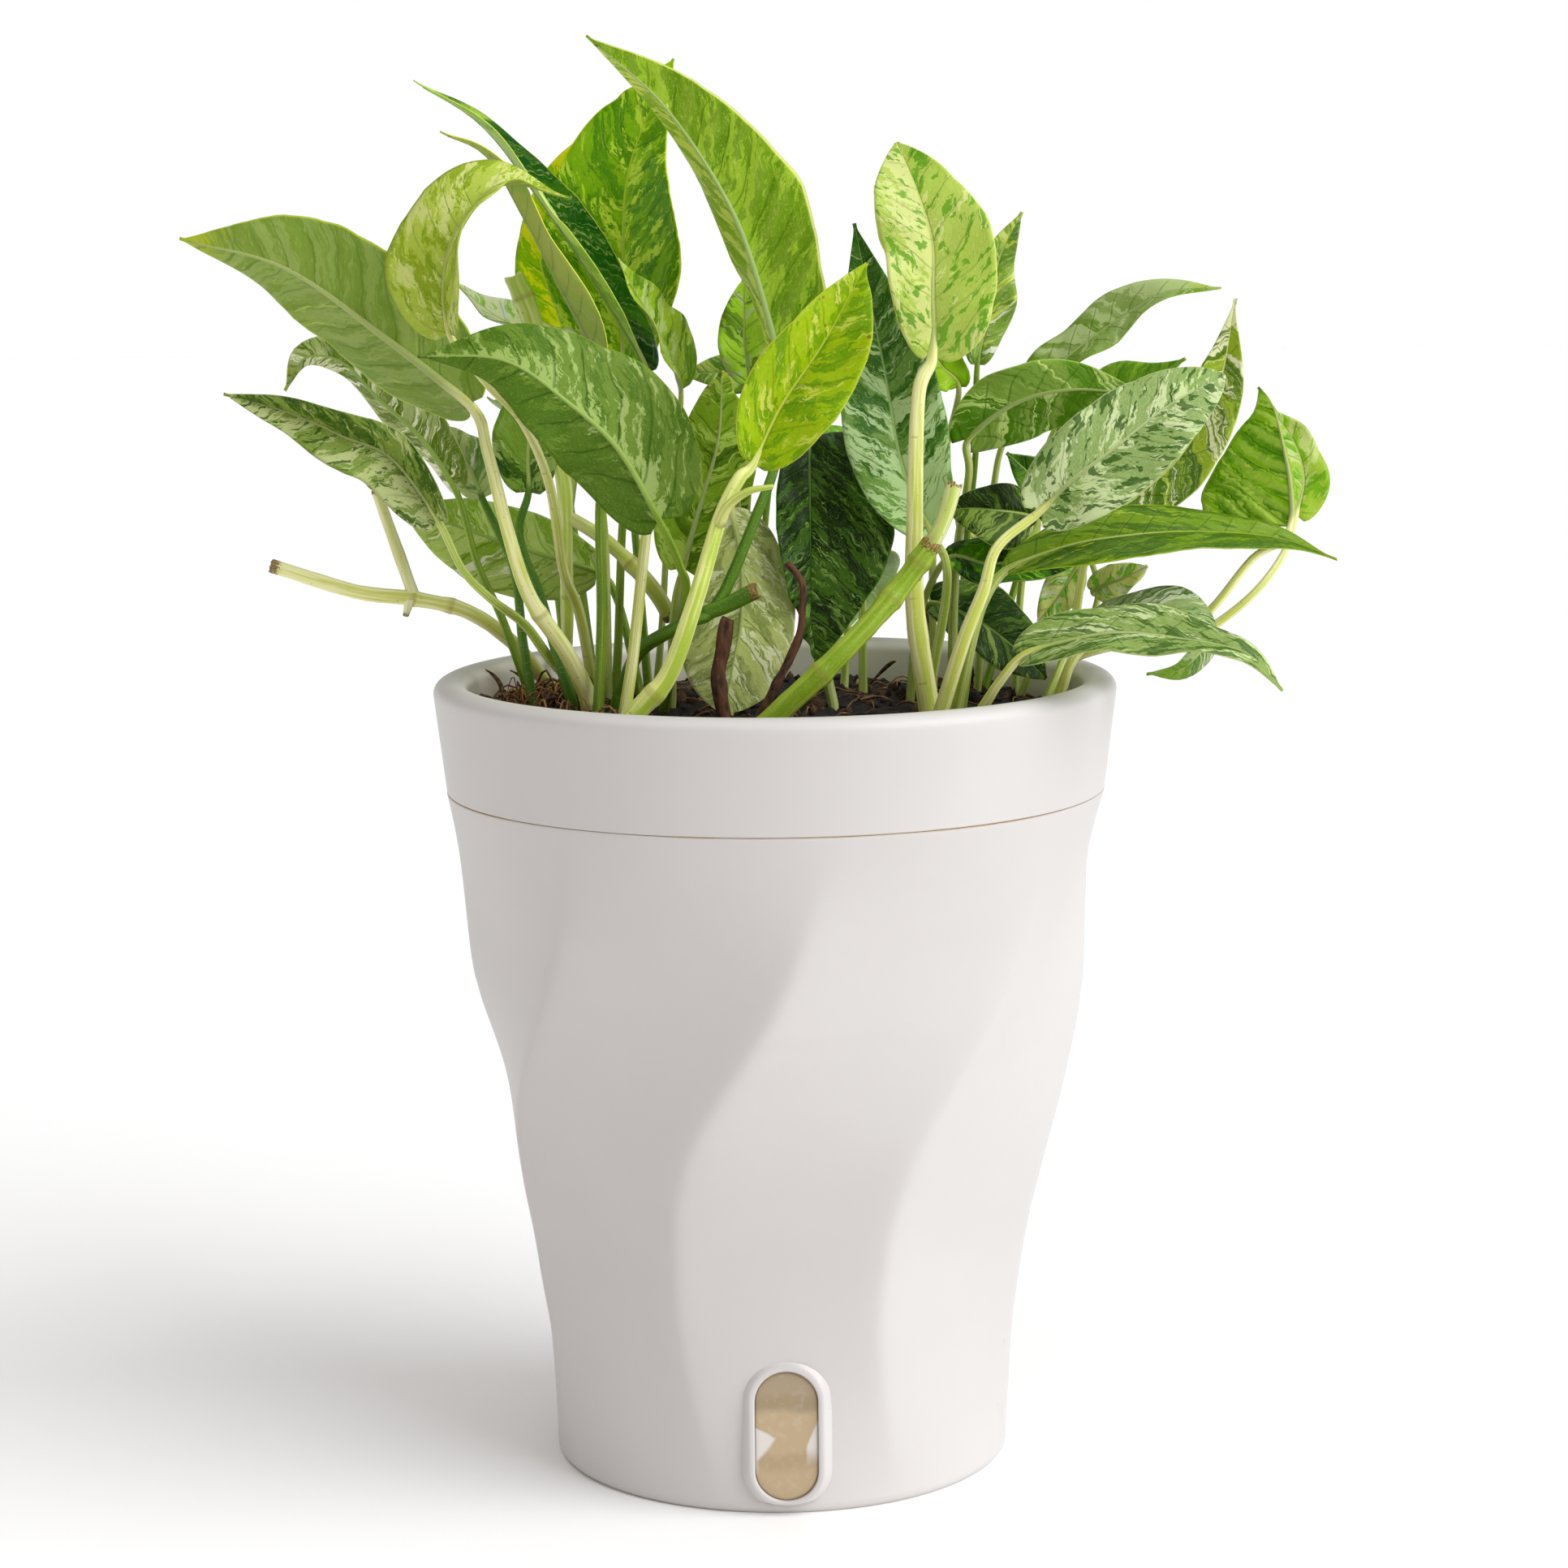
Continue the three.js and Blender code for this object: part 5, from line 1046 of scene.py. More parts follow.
def add_stalk(shape, leaf):
    """The petiole and, below the blade, the midrib: a tube whose radius falls along the petiole, swells at
    the knee under the blade, rises in a ring at each node and tapers out to the leaf's tip. A groove runs up
    the petiole, and the midrib sinks into the blade until only its upper side shows."""
    points, first = leaf["points"], leaf["first"]
    petiole = np.zeros(1)
    if first:
        petiole = np.linspace(0, first, max(24, int(cubic_length(points[: first + 1]) / STALK_STEP)))
    along_blade = np.linspace(0, MIDRIB_END, MIDRIB_PLACES)[1:]
    midrib, _ = spread_by_length(points, along_blade, first)
    places = np.concatenate([petiole, midrib])
    t = np.concatenate([np.zeros(len(petiole)), along_blade])
    centre, ways = smooth_line(points, places)
    up = carried_up(ways[::-1], blade_up(leaf, ways[-1:])[0])[::-1]
    up = np.concatenate([up[: len(petiole)], blade_up(leaf, ways[len(petiole) :])])
    thick, thin = leaf["stalk"]
    slim = 0.52 * thin + 0.18
    share = np.clip(places / max(first, 1), 0, 1) ** 1.3
    radius = np.where(t > 0, (slim - 0.2) * (1 - t) ** 1.25 + 0.2, thick + (slim - thick) * share)
    distance = run_along(centre)
    if first:
        knee = distance[len(petiole) - 1] - KNEE_BACK
        radius = radius * (1 + KNEE_SWELL * bump(distance - knee, 3.0))
    node = np.zeros(len(distance))
    for height in leaf.get("nodes", ()):
        radius = radius * (1 + NODE_SWELL * bump(centre[:, 2] - height, 1.1) * (t == 0))
        node = np.maximum(node, bump(centre[:, 2] - height, 1.2) * (t == 0))
    sink = eased(np.clip(t / 0.1, 0, 1)) * (radius - 0.12)
    angle = -round_angles(STALK_SIDES)
    groove = 1 - 0.2 * bump(np.angle(np.exp(1j * (angle - np.pi / 2))), 0.55)
    reach = radius[:, None] * np.where(t[:, None] > 0, 1, groove)
    rings = tube(centre - up * sink[:, None], np.cross(ways, up), up, reach, angle)
    where = stacked((distance / distance[-1])[:, None], angle[None], node[:, None])
    grain = stacked(distance[:, None], reach * angle[None], t[:, None])
    shape.rings(rings, 1, where=where, grain=grain)


def add_rod(shape, points, radii, finish=0, nodes=(), sides=14, lumps=0.05, seed=1):
    """A cut stem or root: a tube through the points, with slow lumps in its radius, a raised ring at each
    node and, at its far end, a torn cut face that dips in its middle."""
    straight = run_along(points)[-1]
    share = np.linspace(0, 1, max(8, int(straight / ROD_STEP)))
    places, length = spread_by_length(points, share)
    centre, ways = smooth_line(points, places)
    up = carried_up(ways, np.array(VIEW_SIDE, float))
    radius = radii[0] + (radii[1] - radii[0]) * share
    radius = radius * (1 + lumps * hills(share * length / 5, np.full(len(share), 3.3), seed))
    node = np.zeros(len(share))
    for place in nodes:
        node = np.maximum(node, bump((share - place) * length, 1.3))
    radius = radius * (1 + ROD_NODE_SWELL * node)
    angle = -round_angles(sides)
    rough = hills(share[:, None] * length / 2.5, np.abs(angle)[None, :] * 1.5 + 9, seed + 5)
    rings = tube(centre, np.cross(ways, up), up, radius[:, None] * (1 + lumps * 0.7 * rough), angle)
    end = ways[-1] * radii[-1]
    middle = rings[-1:].mean(1, keepdims=True)
    jagged = hills(np.abs(angle) * 2.3, np.full(sides, 7.7), seed + 9)[None, :, None]
    edge = rings[-1:] * 0.9 + middle * 0.1 + (jagged * 0.35 + 0.2) * end
    dip = edge * 0.45 + middle * 0.55 - end * 0.15
    where = stacked(share[:, None], angle[None], node[:, None])
    where = np.concatenate([where, where[-1:], where[-1:]])
    grain = np.stack([where[..., 0] * length, where[..., 1] * radii[0], where[..., 2]], -1)
    shape.rings(np.concatenate([rings, edge, dip]), finish, where=where, grain=grain)


# Pot, window and soil


def along_rows(rows, z):
    """Values between the rows of a table, eased so that they pass each row without a kink."""
    places = np.interp(z, rows[:, 0], np.arange(len(rows)))
    line, _ = smooth_line(rows, places)
    return line


def window_distance(x, z):
    """How far a point of the front lies outside the window's oblong; negative inside it."""
    radius = WINDOW_WIDTH / 2
    low, high = WINDOW_LOW + radius, WINDOW_HIGH - radius
    return np.hypot(x - WINDOW_X, z - np.clip(z, low, high)) - radius


def make_outer_pot(skin):
    """The twisted body: at each height a ring of flattened facets between softened creases, turned by the
    crease's azimuth; pressed in behind the window; with a rounded seat, a round inside and a floor."""
    z = BODY_HEIGHTS
    _, corner, crease, flatness = along_rows(BODY, z).T
    corner = corner - BODY_TOP_DIP * np.clip((z - BODY_TOP_START) / BODY_TOP_RISE, 0, 1) ** 2
    facet = 2 * np.pi / FACETS
    angle = round_angles(BODY_COLUMNS)
    within = (angle + facet / 2) % facet - facet / 2
    from_middle = facet / 2 - np.sqrt(within**2 + math.radians(CREASE_SOFTNESS) ** 2)
    flat = 1 - math.cos(facet / 2) / np.cos(from_middle)
    radius = corner[:, None] * (1 - np.clip(flatness, 0, 1)[:, None] * flat)
    azimuth = np.radians(crease)[:, None] + angle
    outside = stacked(radius * np.sin(azimuth), -radius * np.cos(azimuth), z[:, None])
    x, y = outside[..., 0], outside[..., 1]
    pressed = np.clip((PRESS_START - window_distance(x, z[:, None])) / PRESS_SLOPE, 0, 1) * (y < 0)
    outside[..., 1] += PRESS_DEPTH * pressed
    inside = turned(np.array(BODY_CAVITY), azimuth[-1])
    shape = Shape()
    shape.rings(np.concatenate([outside, inside]))
    shape.piece("twisted_body", [skin], ["outer_pot"])


def oblong_path(gap, count):
    """Points and outward directions round the window's oblong, drawn in by the gap, clockwise seen from the
    front."""
    width, low, high = WINDOW_WIDTH - 2 * gap, WINDOW_LOW + gap, WINDOW_HIGH - gap
    radius = width / 2
    straight = high - low - width
    around = np.pi * radius
    place = np.linspace(0, 2 * (straight + around), count, endpoint=False)
    turn = np.clip(place / around, 0, 1) + np.clip((place - around - straight) / around, 0, 1)
    drop = np.clip(place - around, 0, straight) - np.clip(place - 2 * around - straight, 0, straight)
    out = np.stack([-np.cos(np.pi * turn), np.sin(np.pi * turn)], -1)
    middle = np.stack([np.full(count, WINDOW_X), high - radius - drop], -1)
    return middle + out * radius, out


def lean_back(points):
    """The window's parts lean back by its tilt about the middle of their front, and are tucked in towards
    the foot at their lower end."""
    tilt = math.radians(BEZEL_TILT)
    middle = (WINDOW_LOW + WINDOW_HIGH) / 2
    y, z = points[..., 1] + BEZEL_FRONT, points[..., 2] - middle
    leaning = points.copy()
    leaning[..., 1] = y * math.cos(tilt) + z * math.sin(tilt) - BEZEL_FRONT
    leaning[..., 2] = -y * math.sin(tilt) + z * math.cos(tilt) + middle
    low = np.clip((middle - leaning[..., 2]) / middle, 0, 1)
    leaning[..., 1] += BEZEL_TUCK * low * low
    leaning[..., 2] = np.maximum(leaning[..., 2], WINDOW_LOW - (WINDOW_LOW - leaning[..., 2]) * 0.62)
    return leaning


def bezel_profile():
    """The raised ring's section, as the way out from the oblong and the rise over its front: a wall, a round
    edge, a narrow flat and a slope that falls to the body."""
    lip, lip_round, lip_flat = 0.5, 0.45, 0.4
    profile = [[0, -3.6], [0, -lip]]
    profile += [
        [lip - lip * math.cos(a), -lip + lip_round * math.sin(a)] for a in np.linspace(0, np.pi / 2, 8)[1:]
    ]
    top = lip_round - lip
    profile += [[lip + lip_flat * a, top] for a in (0.5, 1)]
    profile += [
        [lip + lip_flat + (BEZEL_WIDTH - lip) * a, top - 2.4 * a * a * (1.5 - 0.5 * a)]
        for a in np.linspace(0, 1, 14)[1:]
    ]
    return np.array([*profile, [BEZEL_WIDTH + lip_flat, -3.8]])


def make_window_ring(skin):
    """The raised ring: its section carried round the oblong, with a slope that is wider at the top."""
    path, out = oblong_path(0, BEZEL_PLACES)
    profile = bezel_profile()
    flat = 0.9
    upward = np.clip(out[:, 1:], 0, 1)
    reach = np.minimum(profile[:, 0], flat) + np.maximum(profile[:, 0] - flat, 0) * (0.76 + 0.34 * upward)
    x = path[:, :1] + out[:, :1] * reach
    z = path[:, 1:] + out[:, 1:] * reach
    ring = stacked(x, -BEZEL_FRONT - profile[:, 1], z)
    closed = np.concatenate([ring, ring[:1]])
    shape = Shape()
    shape.rings(lean_back(closed[:, ::-1]), caps=False)
    shape.piece("window_ring", [skin], ["outer_pot"])


def make_pane(skin):
    """The pane: a thin plate inside the ring, as ever smaller oblongs from its back round its edge to the
    middle of its face. Each has its share of the full oblong and its rise over the face."""
    steps = [(0.02, -PANE_THICKNESS), (1, -PANE_THICKNESS), (1, -0.35), (0.985, -0.12), (0.95, 0)]
    steps += [(share, 0.0) for share in (0.85, 0.75, 0.65, 0.55, 0.45, 0.35, 0.25, 0.15, 0.07, 0.02)]
    share, rise = np.array(steps).T[..., None]
    path, _ = oblong_path(PANE_GAP, PANE_PLACES)
    middle = np.array([WINDOW_X, (WINDOW_LOW + WINDOW_HIGH) / 2])
    x, z = (middle[k] + (path[:, k] - middle[k]) * share for k in range(2))
    plate = stacked(x, PANE_RECESS - BEZEL_FRONT - rise, z)
    shape = Shape()
    shape.rings(lean_back(plate)[:, ::-1])
    shape.piece("window_pane", [skin], ["water_window"])


def make_planter(skin):
    """The collar and bowl: a profile turned about the axis, with a softly rounded rim and a small round on
    the collar's lower edge, over the seam."""
    rim_low = RIM_HEIGHT - RIM_DROP
    wall = [
        [COLLAR_RADIUS + (RIM_RADIUS - COLLAR_RADIUS) * a, WALL_LOW + (rim_low - WALL_LOW) * a]
        for a in np.linspace(0, 1, 16)[1:-1]
    ]
    rim = [
        [RIM_RADIUS - RIM_ROUND + RIM_ROUND * math.cos(a), rim_low + RIM_DROP * math.sin(a) ** 0.9]
        for a in np.linspace(0, np.pi, 25)
    ]
    profile = np.array([*PLANTER_OUTSIDE, *COLLAR_EDGE, *wall, *rim, *PLANTER_INSIDE])
    shape = Shape()
    shape.rings(turned(profile, round_angles(PLANTER_COLUMNS)), caps=False)
    shape.piece("planter_collar", [skin], ["planter"])


def soil_level(x, y):
    """The soil's height: a heap at the left, slow hills, clods and crumbs, falling a little to the wall."""
    distance = np.hypot(x, y)
    heap = np.exp(-((x - HEAP_X) ** 2 + (y - HEAP_Y) ** 2) / HEAP_SPREAD)
    level = SOIL_HEIGHT + 0.8 - 1.6 * np.clip((distance - 46) / 22, 0, 1) ** 2
    level = level + HEAP_HEIGHT * heap * np.clip((66 - distance) / 6, 0, 1)
    level = level + 1.3 * hills(x / 14 + 40, y / 14 + 40, 3) + 0.9 * hills(x / 4.2 + 90, y / 4.2 + 30, 4)
    return level + 0.5 * hills(x / 1.6 + 60, y / 1.6 + 80, 5) + 0.25 * hills(x / 0.8 + 9, y / 0.8 + 9, 6)


def make_soil(skin):
    """The soil: it fills the bowl and ends in a rough disc."""
    disc = np.linspace(SOIL_RADIUS, 0.4, SOIL_RINGS)
    profile = np.vstack([SOIL_SIDE, np.stack([disc, disc * 0], 1)])
    rings = turned(profile, round_angles(SOIL_COLUMNS))
    top = rings[len(SOIL_SIDE) :]
    top[..., 2] = soil_level(top[..., 0], top[..., 1])
    shape = Shape()
    shape.rings(rings)
    shape.piece("potting_soil", [skin], ["soil"])


def make_crumbs(skin):
    """Bark and clods on the soil: one small bumpy ball, repeated, each stretched, turned and tinted."""
    random = np.random.default_rng(11)
    once = (CRUMBS, 1, 1)
    polar = np.linspace(0.25, np.pi - 0.25, CRUMB_ROWS)[:, None]
    turn = round_angles(CRUMB_COLUMNS)
    ball = stacked(np.sin(polar) * np.cos(turn), np.sin(polar) * np.sin(turn), -np.cos(polar))
    ball = ball[None] * (0.75 + 0.5 * random.random((CRUMBS, CRUMB_ROWS, CRUMB_COLUMNS, 1)))
    ball *= (0.55 + 1.9 * random.random((*once, 3)) ** 2.4) * 1.1
    way = random.random(once) * 2 * np.pi
    x = ball[..., 0] * np.cos(way) - ball[..., 1] * np.sin(way)
    y = ball[..., 0] * np.sin(way) + ball[..., 1] * np.cos(way)
    distance = CRUMB_REACH * np.sqrt(random.random(once))
    azimuth = random.random(once) * 2 * np.pi
    place_x, place_y = distance * np.sin(azimuth), -distance * np.cos(azimuth)
    keep = 1 + np.clip(CRUMB_LIMIT - np.hypot(x + place_x, y + place_y), None, 0) / CRUMB_REACH
    x, y = x + place_x * keep, y + place_y * keep
    z = ball[..., 2] * 0.8 + soil_level(place_x, place_y) + 0.25
    tint = random.random(once)
    points, marks = stacked(x, y, z), stacked(np.broadcast_to(tint, x.shape), 0, 0)
    shape = Shape()
    for rings, where in zip(points, marks):
        shape.rings(rings, where=where)
    shape.piece("bark_crumbs", [skin])


def make_fibres(skin):
    """Coconut fibres lying on the soil, thickest at the left: thin tubes along arcs that rise and dip; and
    the dark twigs."""
    random = np.random.default_rng(23)
    left = random.random(FIBRES) < 0.62
    on_heap = np.radians(-78 + 60 * (random.random(FIBRES) - 0.5))
    azimuth = np.where(left, on_heap, random.random(FIBRES) * 2 * np.pi)
    distance = np.where(left, 44 + 21 * random.random(FIBRES), 62 * np.sqrt(random.random(FIBRES)))
    start = np.stack([distance * np.sin(azimuth), -distance * np.cos(azimuth)], -1)
    heading = random.random(FIBRES) * 2 * np.pi
    bend = 3.2 * (random.random(FIBRES) - 0.5)
    run = 4 + 13 * random.random(FIBRES) ** 2
    rise = 0.6 + 4.5 * random.random(FIBRES) ** 2 * left + 1.0 * random.random(FIBRES)
    t = np.linspace(0, 1, FIBRE_POINTS)
    shape = Shape()
    for one in range(FIBRES):
        way = heading[one] + bend[one] * t
        step = run[one] / (FIBRE_POINTS - 1)
        x = start[one, 0] + np.cumsum(np.cos(way)) * step
        y = start[one, 1] + np.cumsum(np.sin(way)) * step
        inside = np.clip(FIBRE_LIMIT / np.hypot(x, y), None, 1)
        x, y = x * inside, y * inside
        z = soil_level(x, y) + 0.1 + rise[one] * np.sin(np.pi * t) ** 1.5
        radius = 0.14 + 0.24 * random.random() ** 2
        add_thread(shape, np.stack([x, y, z], -1), radius, random.random(), 4)
    t = np.linspace(0, 1, 9)[:, None]
    for start, end, radius in TWIGS:
        line = np.array(start) * (1 - t) + np.array(end) * t + TWIG_BOW * np.sin(np.pi * t)
        add_thread(shape, line, radius, 0.1, 7)
    shape.piece("coir_fibres", [skin])


def add_thread(shape, line, radius, tint, sides):
    """A thin tube along a line, pointed at both ends."""
    ways = np.gradient(line, axis=0)
    ways /= np.linalg.norm(ways, axis=1, keepdims=True)
    up = np.cross(ways, np.cross([0, 0, 1.0], ways))
    up /= np.linalg.norm(up, axis=1, keepdims=True) + 1e-9
    reach = radius * np.clip(np.sin(np.pi * np.linspace(0.06, 0.94, len(line))), 0.3, 1)[:, None]
    rings = tube(line, np.cross(ways, up), up, reach, -round_angles(sides))
    shape.rings(rings, where=np.broadcast_to(np.array([tint, 0, 0]), rings.shape))


# Finishes


def paint(code):
    """A colour from its usual six-digit code, as light amounts."""
    levels = [int(code[k : k + 2], 16) / 255 for k in (1, 3, 5)]
    light = [v / 12.92 if v <= 0.04045 else ((v + 0.055) / 1.055) ** 2.4 for v in levels]
    return (*light, 1.0)


class Result:
    """What a node gives. A sum, difference, product or quotient of it is what one more node gives."""

    def __init__(self, finish, socket):
        self.finish, self.socket = finish, socket

    def __add__(self, other):
        return self.finish.calc("ADD", self, other)

    def __sub__(self, other):
        return self.finish.calc("SUBTRACT", self, other)

    def __rsub__(self, other):
        return self.finish.calc("SUBTRACT", other, self)

    def __mul__(self, other):
        return self.finish.calc("MULTIPLY", self, other)

    def __truediv__(self, other):
        return self.finish.calc("DIVIDE", self, other)

    def __rtruediv__(self, other):
        return self.finish.calc("DIVIDE", other, self)

    def __abs__(self):
        return self.finish.calc("ABSOLUTE", self)

    __radd__, __rmul__ = __add__, __mul__


class Finish:
    """A node material or group while it is written. Each method adds a node and gives its result."""

    def __init__(self, tree):
        self.tree = tree

    def step(self, kind, inputs=(), result=0, **settings):
        made = self.tree.nodes.new(kind)
        for key, value in settings.items():
            setattr(made, key, value)
        for key, value in dict(inputs).items():
            if isinstance(value, Result):
                self.tree.links.new(value.socket, made.inputs[key])
            else:
                made.inputs[key].default_value = value
        return Result(self, made.outputs[result]) if result is not None else None

    def calc(self, how, a, b=0.0):
        return self.step("ShaderNodeMath", {0: a, 1: b}, operation=how)

    def fade(self, value, low, high):
        """0 below low, 1 above high, eased between; reversed where low is above high."""
        inputs = {"Value": value, "From Min": low, "From Max": high}
        return self.step("ShaderNodeMapRange", inputs, interpolation_type="SMOOTHSTEP")

    def mix(self, share, under, over, how="MIX"):
        """The share of over laid on under. A colour may be given as its code."""
        under, over = (paint(tone) if isinstance(tone, str) else tone for tone in (under, over))
        inputs = {0: share, 6: under, 7: over}
        return self.step("ShaderNodeMix", inputs, 2, data_type="RGBA", blend_type=how, clamp_factor=True)

    def grain(self, place, scale, detail=3.0, rough=0.5, twist=0.0):
        inputs = {"Vector": place, "Scale": scale, "Detail": detail, "Roughness": rough, "Distortion": twist}
        return self.step("ShaderNodeTexNoise", inputs)

    def cells(self, place, scale, **settings):
        return self.step("ShaderNodeTexVoronoi", {"Vector": place, "Scale": scale}, "Distance", **settings)

    def apart(self, vector):
        node = self.tree.nodes.new("ShaderNodeSeparateXYZ")
        self.tree.links.new(vector.socket, node.inputs[0])
        return [Result(self, socket) for socket in node.outputs]

    def together(self, x, y, z):
        return self.step("ShaderNodeCombineXYZ", {0: x, 1: y, 2: z})

    def mark(self, name):
        return self.step("ShaderNodeAttribute", result="Vector", attribute_name=name)

    def place(self):
        return self.step("ShaderNodeTexCoord", result="Object")

    def surface(self, colour, roughness, height, bump, depth, **sockets):
        inputs = {"Base Color": colour, "Roughness": roughness}
        inputs.update({key.replace("_", " "): value for key, value in sockets.items()})
        relief = {"Height": height, "Strength": bump, "Distance": depth}
        inputs["Normal"] = self.step("ShaderNodeBump", relief)
        shader = self.step("ShaderNodeBsdfPrincipled", inputs)
        self.step("ShaderNodeOutputMaterial", {"Surface": shader}, result=None)


def new_finish(name):
    material = bpy.data.materials.new(name)
    material.use_nodes = True
    material.node_tree.nodes.clear()
    return material, Finish(material.node_tree)


def write_leaf_group():
    """The marbling: two layers of paler patches over the ground colour, torn into streaks that run along the
    side veins, then side veins, midrib, margin, tip, brown specks and the duller other side."""
    group = bpy.data.node_groups.new("leaf_marbling", "ShaderNodeTree")
    for name, value in LEAF_SETTINGS.items():
        kind = "NodeSocketColor" if isinstance(value, str) else "NodeSocketFloat"
        group.interface.new_socket(name, in_out="INPUT", socket_type=kind)
    results = {"colour": "NodeSocketColor", "roughness": "NodeSocketFloat", "height": "NodeSocketFloat"}
    for name, kind in results.items():
        group.interface.new_socket(name, in_out="OUTPUT", socket_type=kind)
    f = Finish(group)
    given = {socket.name: Result(f, socket) for socket in group.nodes.new("NodeGroupInput").outputs}
    t, s, face = f.apart(f.mark("where"))
    across, sideways, run = f.apart(f.mark("grain"))
    off_rib, off_middle = abs(sideways), abs(s)
    right = f.calc("SIGN", s)
    seed = given["seed"] + right * 3.7
    second = seed + 11.3

    # The way along the side veins wanders slowly and bends quickly, and each half has its own patches.
    sway = (f.grain(f.together(run * 0.07, sideways * 0.07, seed), 1.0, 2.0) - 0.5) * 7.0
    bends = (f.grain(f.together(run * 0.36, sideways * 0.36, seed), 1.0, 2.0) - 0.5) * 3.6
    wandering = across + sway
    fine = 1.0 / given["size"]
    lengthwise = given["lengthwise"]
    crosswise = 1.0 - lengthwise
    from_rib = (off_rib + bends * 0.25) * 1.6
    narrow = ((wandering + bends) * crosswise + from_rib * lengthwise) * fine
    long = (off_rib / given["stretch"] * crosswise + run / given["stretch"] * lengthwise) * fine
    streaks = f.together(narrow, long, seed)
    streaks_too = f.together(narrow, long, second)

    def patches(vector, coarse, torn):
        return f.grain(vector, coarse, 1.0, 0.5) * 0.5 + f.grain(vector, torn, 5.0, 0.68, 0.25) * 0.5

    # The patches: where the blade leans to paler, and the level above which each layer shows.
    near_rib = f.fade(off_middle, 0.55, 0.0)
    lean = given["right"] * right + given["tipwards"] * (t - 0.5) + given["along_rib"] * near_rib
    sage_at = 0.64 - given["sage_share"] * 0.28
    pale_at = 0.66 - given["pale_share"] * 0.30
    fleck_at = 0.72 - given["flecks"] * 0.26
    sage = f.fade(patches(streaks, 0.19, 0.62) + lean * 0.8, sage_at - 0.015, sage_at + 0.02)
    pale = f.fade(patches(streaks_too, 0.25, 0.95) + lean, pale_at - 0.01, pale_at + 0.015)
    flecks = f.fade(f.grain(streaks_too, 0.5, 4.0, 0.6, 0.2), fleck_at - 0.01, fleck_at + 0.015)
    shade = f.grain(streaks, 0.35, 4.0)
    dust = f.grain(streaks, 3.2, 3.0, 0.65)
    colour = f.mix(f.fade(shade, 0.35, 0.7), given["ground"], f.mix(0.28, given["ground"], given["sage"]))
    colour = f.mix(sage * 0.92, colour, given["sage"])
    colour = f.mix(f.fade(dust, 0.52, 0.68) * 0.35, colour, given["pale"])
    colour = f.mix(f.fade(dust, 0.46, 0.3) * 0.3, colour, given["ground"])
    colour = f.mix(pale * 0.92, colour, given["pale"])
    colour = f.mix(flecks * 0.85, colour, given["ground"])
    slow = f.grain(f.together(run * 0.06, sideways * 0.06, second), 1.0, 2.0)
    colour = f.mix(f.fade(slow, 0.4, 0.7) * 0.22, colour, "#8fb81e", "SOFT_LIGHT")

    # The side veins, painted light in bands along the swellings between them, the midrib, the margin and the
    # tip.
    gap = f.calc("PINGPONG", wandering, given["spacing"] * 0.5)
    # Painted light: pale bands midway between the side veins stand in for the light on the swellings there.
    ridge_light_mask = f.fade(gap / given["spacing"], 0.22, 0.42) * f.fade(off_middle, 0.98, 0.7)
    colour = f.mix(ridge_light_mask * given["ridge_light"], colour, given["pale"])
    vein = f.fade(gap, 0.42, 0.08) * f.fade(off_middle, 1.0, 0.55)
    colour = f.mix(vein * given["veining"], colour, given["vein"])
    rib_reach = given["rib_width"] * (1.1 - t)
    rib = f.fade(off_rib, rib_reach, rib_reach * 0.45)
    colour = f.mix(rib * 0.85, colour, given["rib"])
    inner = 1.0 - given["margin_width"]
    margin = f.fade(off_middle, inner, inner + given["margin_width"] * 0.7)
    colour = f.mix(margin * 0.8, colour, given["margin"])
    tip = f.fade(t + (shade - 0.5) * 0.5, given["tip_start"], given["tip_start"] + 0.16)
    colour = f.mix(tip * 0.85, colour, given["tip"])

    # Brown specks in some places, the duller other side, and a surface that is rougher underneath.
    flat = f.together(run, sideways, seed)
    specks = f.fade(f.cells(flat, 0.33), 0.2, 0.08) * f.fade(f.grain(flat, 0.16, 1.0), 0.5, 0.6)
    colour = f.mix(specks * given["specks"], colour, "#7a4a1c")
    other = f.fade(face * given["seen_side"], 0.3, -0.3)
    colour = f.mix(other * 0.6, colour, given["other_side"])
    pores = f.cells(flat, 2.6, feature="SMOOTH_F1")
    height = pores * 0.16 + shade * 0.35 - vein * 0.55 - rib * 0.7
    roughness = 0.3 + f.fade(face, 0.3, -0.3) * 0.2 + (shade - 0.5) * 0.2
    outputs = {"colour": colour, "roughness": roughness, "height": height}
    f.step("NodeGroupOutput", outputs, result=None)
    return group


def leaf_finish(group, name, look, order):
    """One leaf's own marbling."""
    material, f = new_finish("marbled_" + name)
    marbling = f.tree.nodes.new("ShaderNodeGroup")
    marbling.node_tree = group
    for key, value in {**LEAF_SETTINGS, **look, "seed": 17.0 + 5.31 * order}.items():
        marbling.inputs[key].default_value = paint(value) if isinstance(value, str) else value
    colour, roughness, height = (Result(f, socket) for socket in marbling.outputs)
    f.surface(colour, roughness, height, 0.6, 0.0005, Specular_IOR_Level=0.1)
    return material


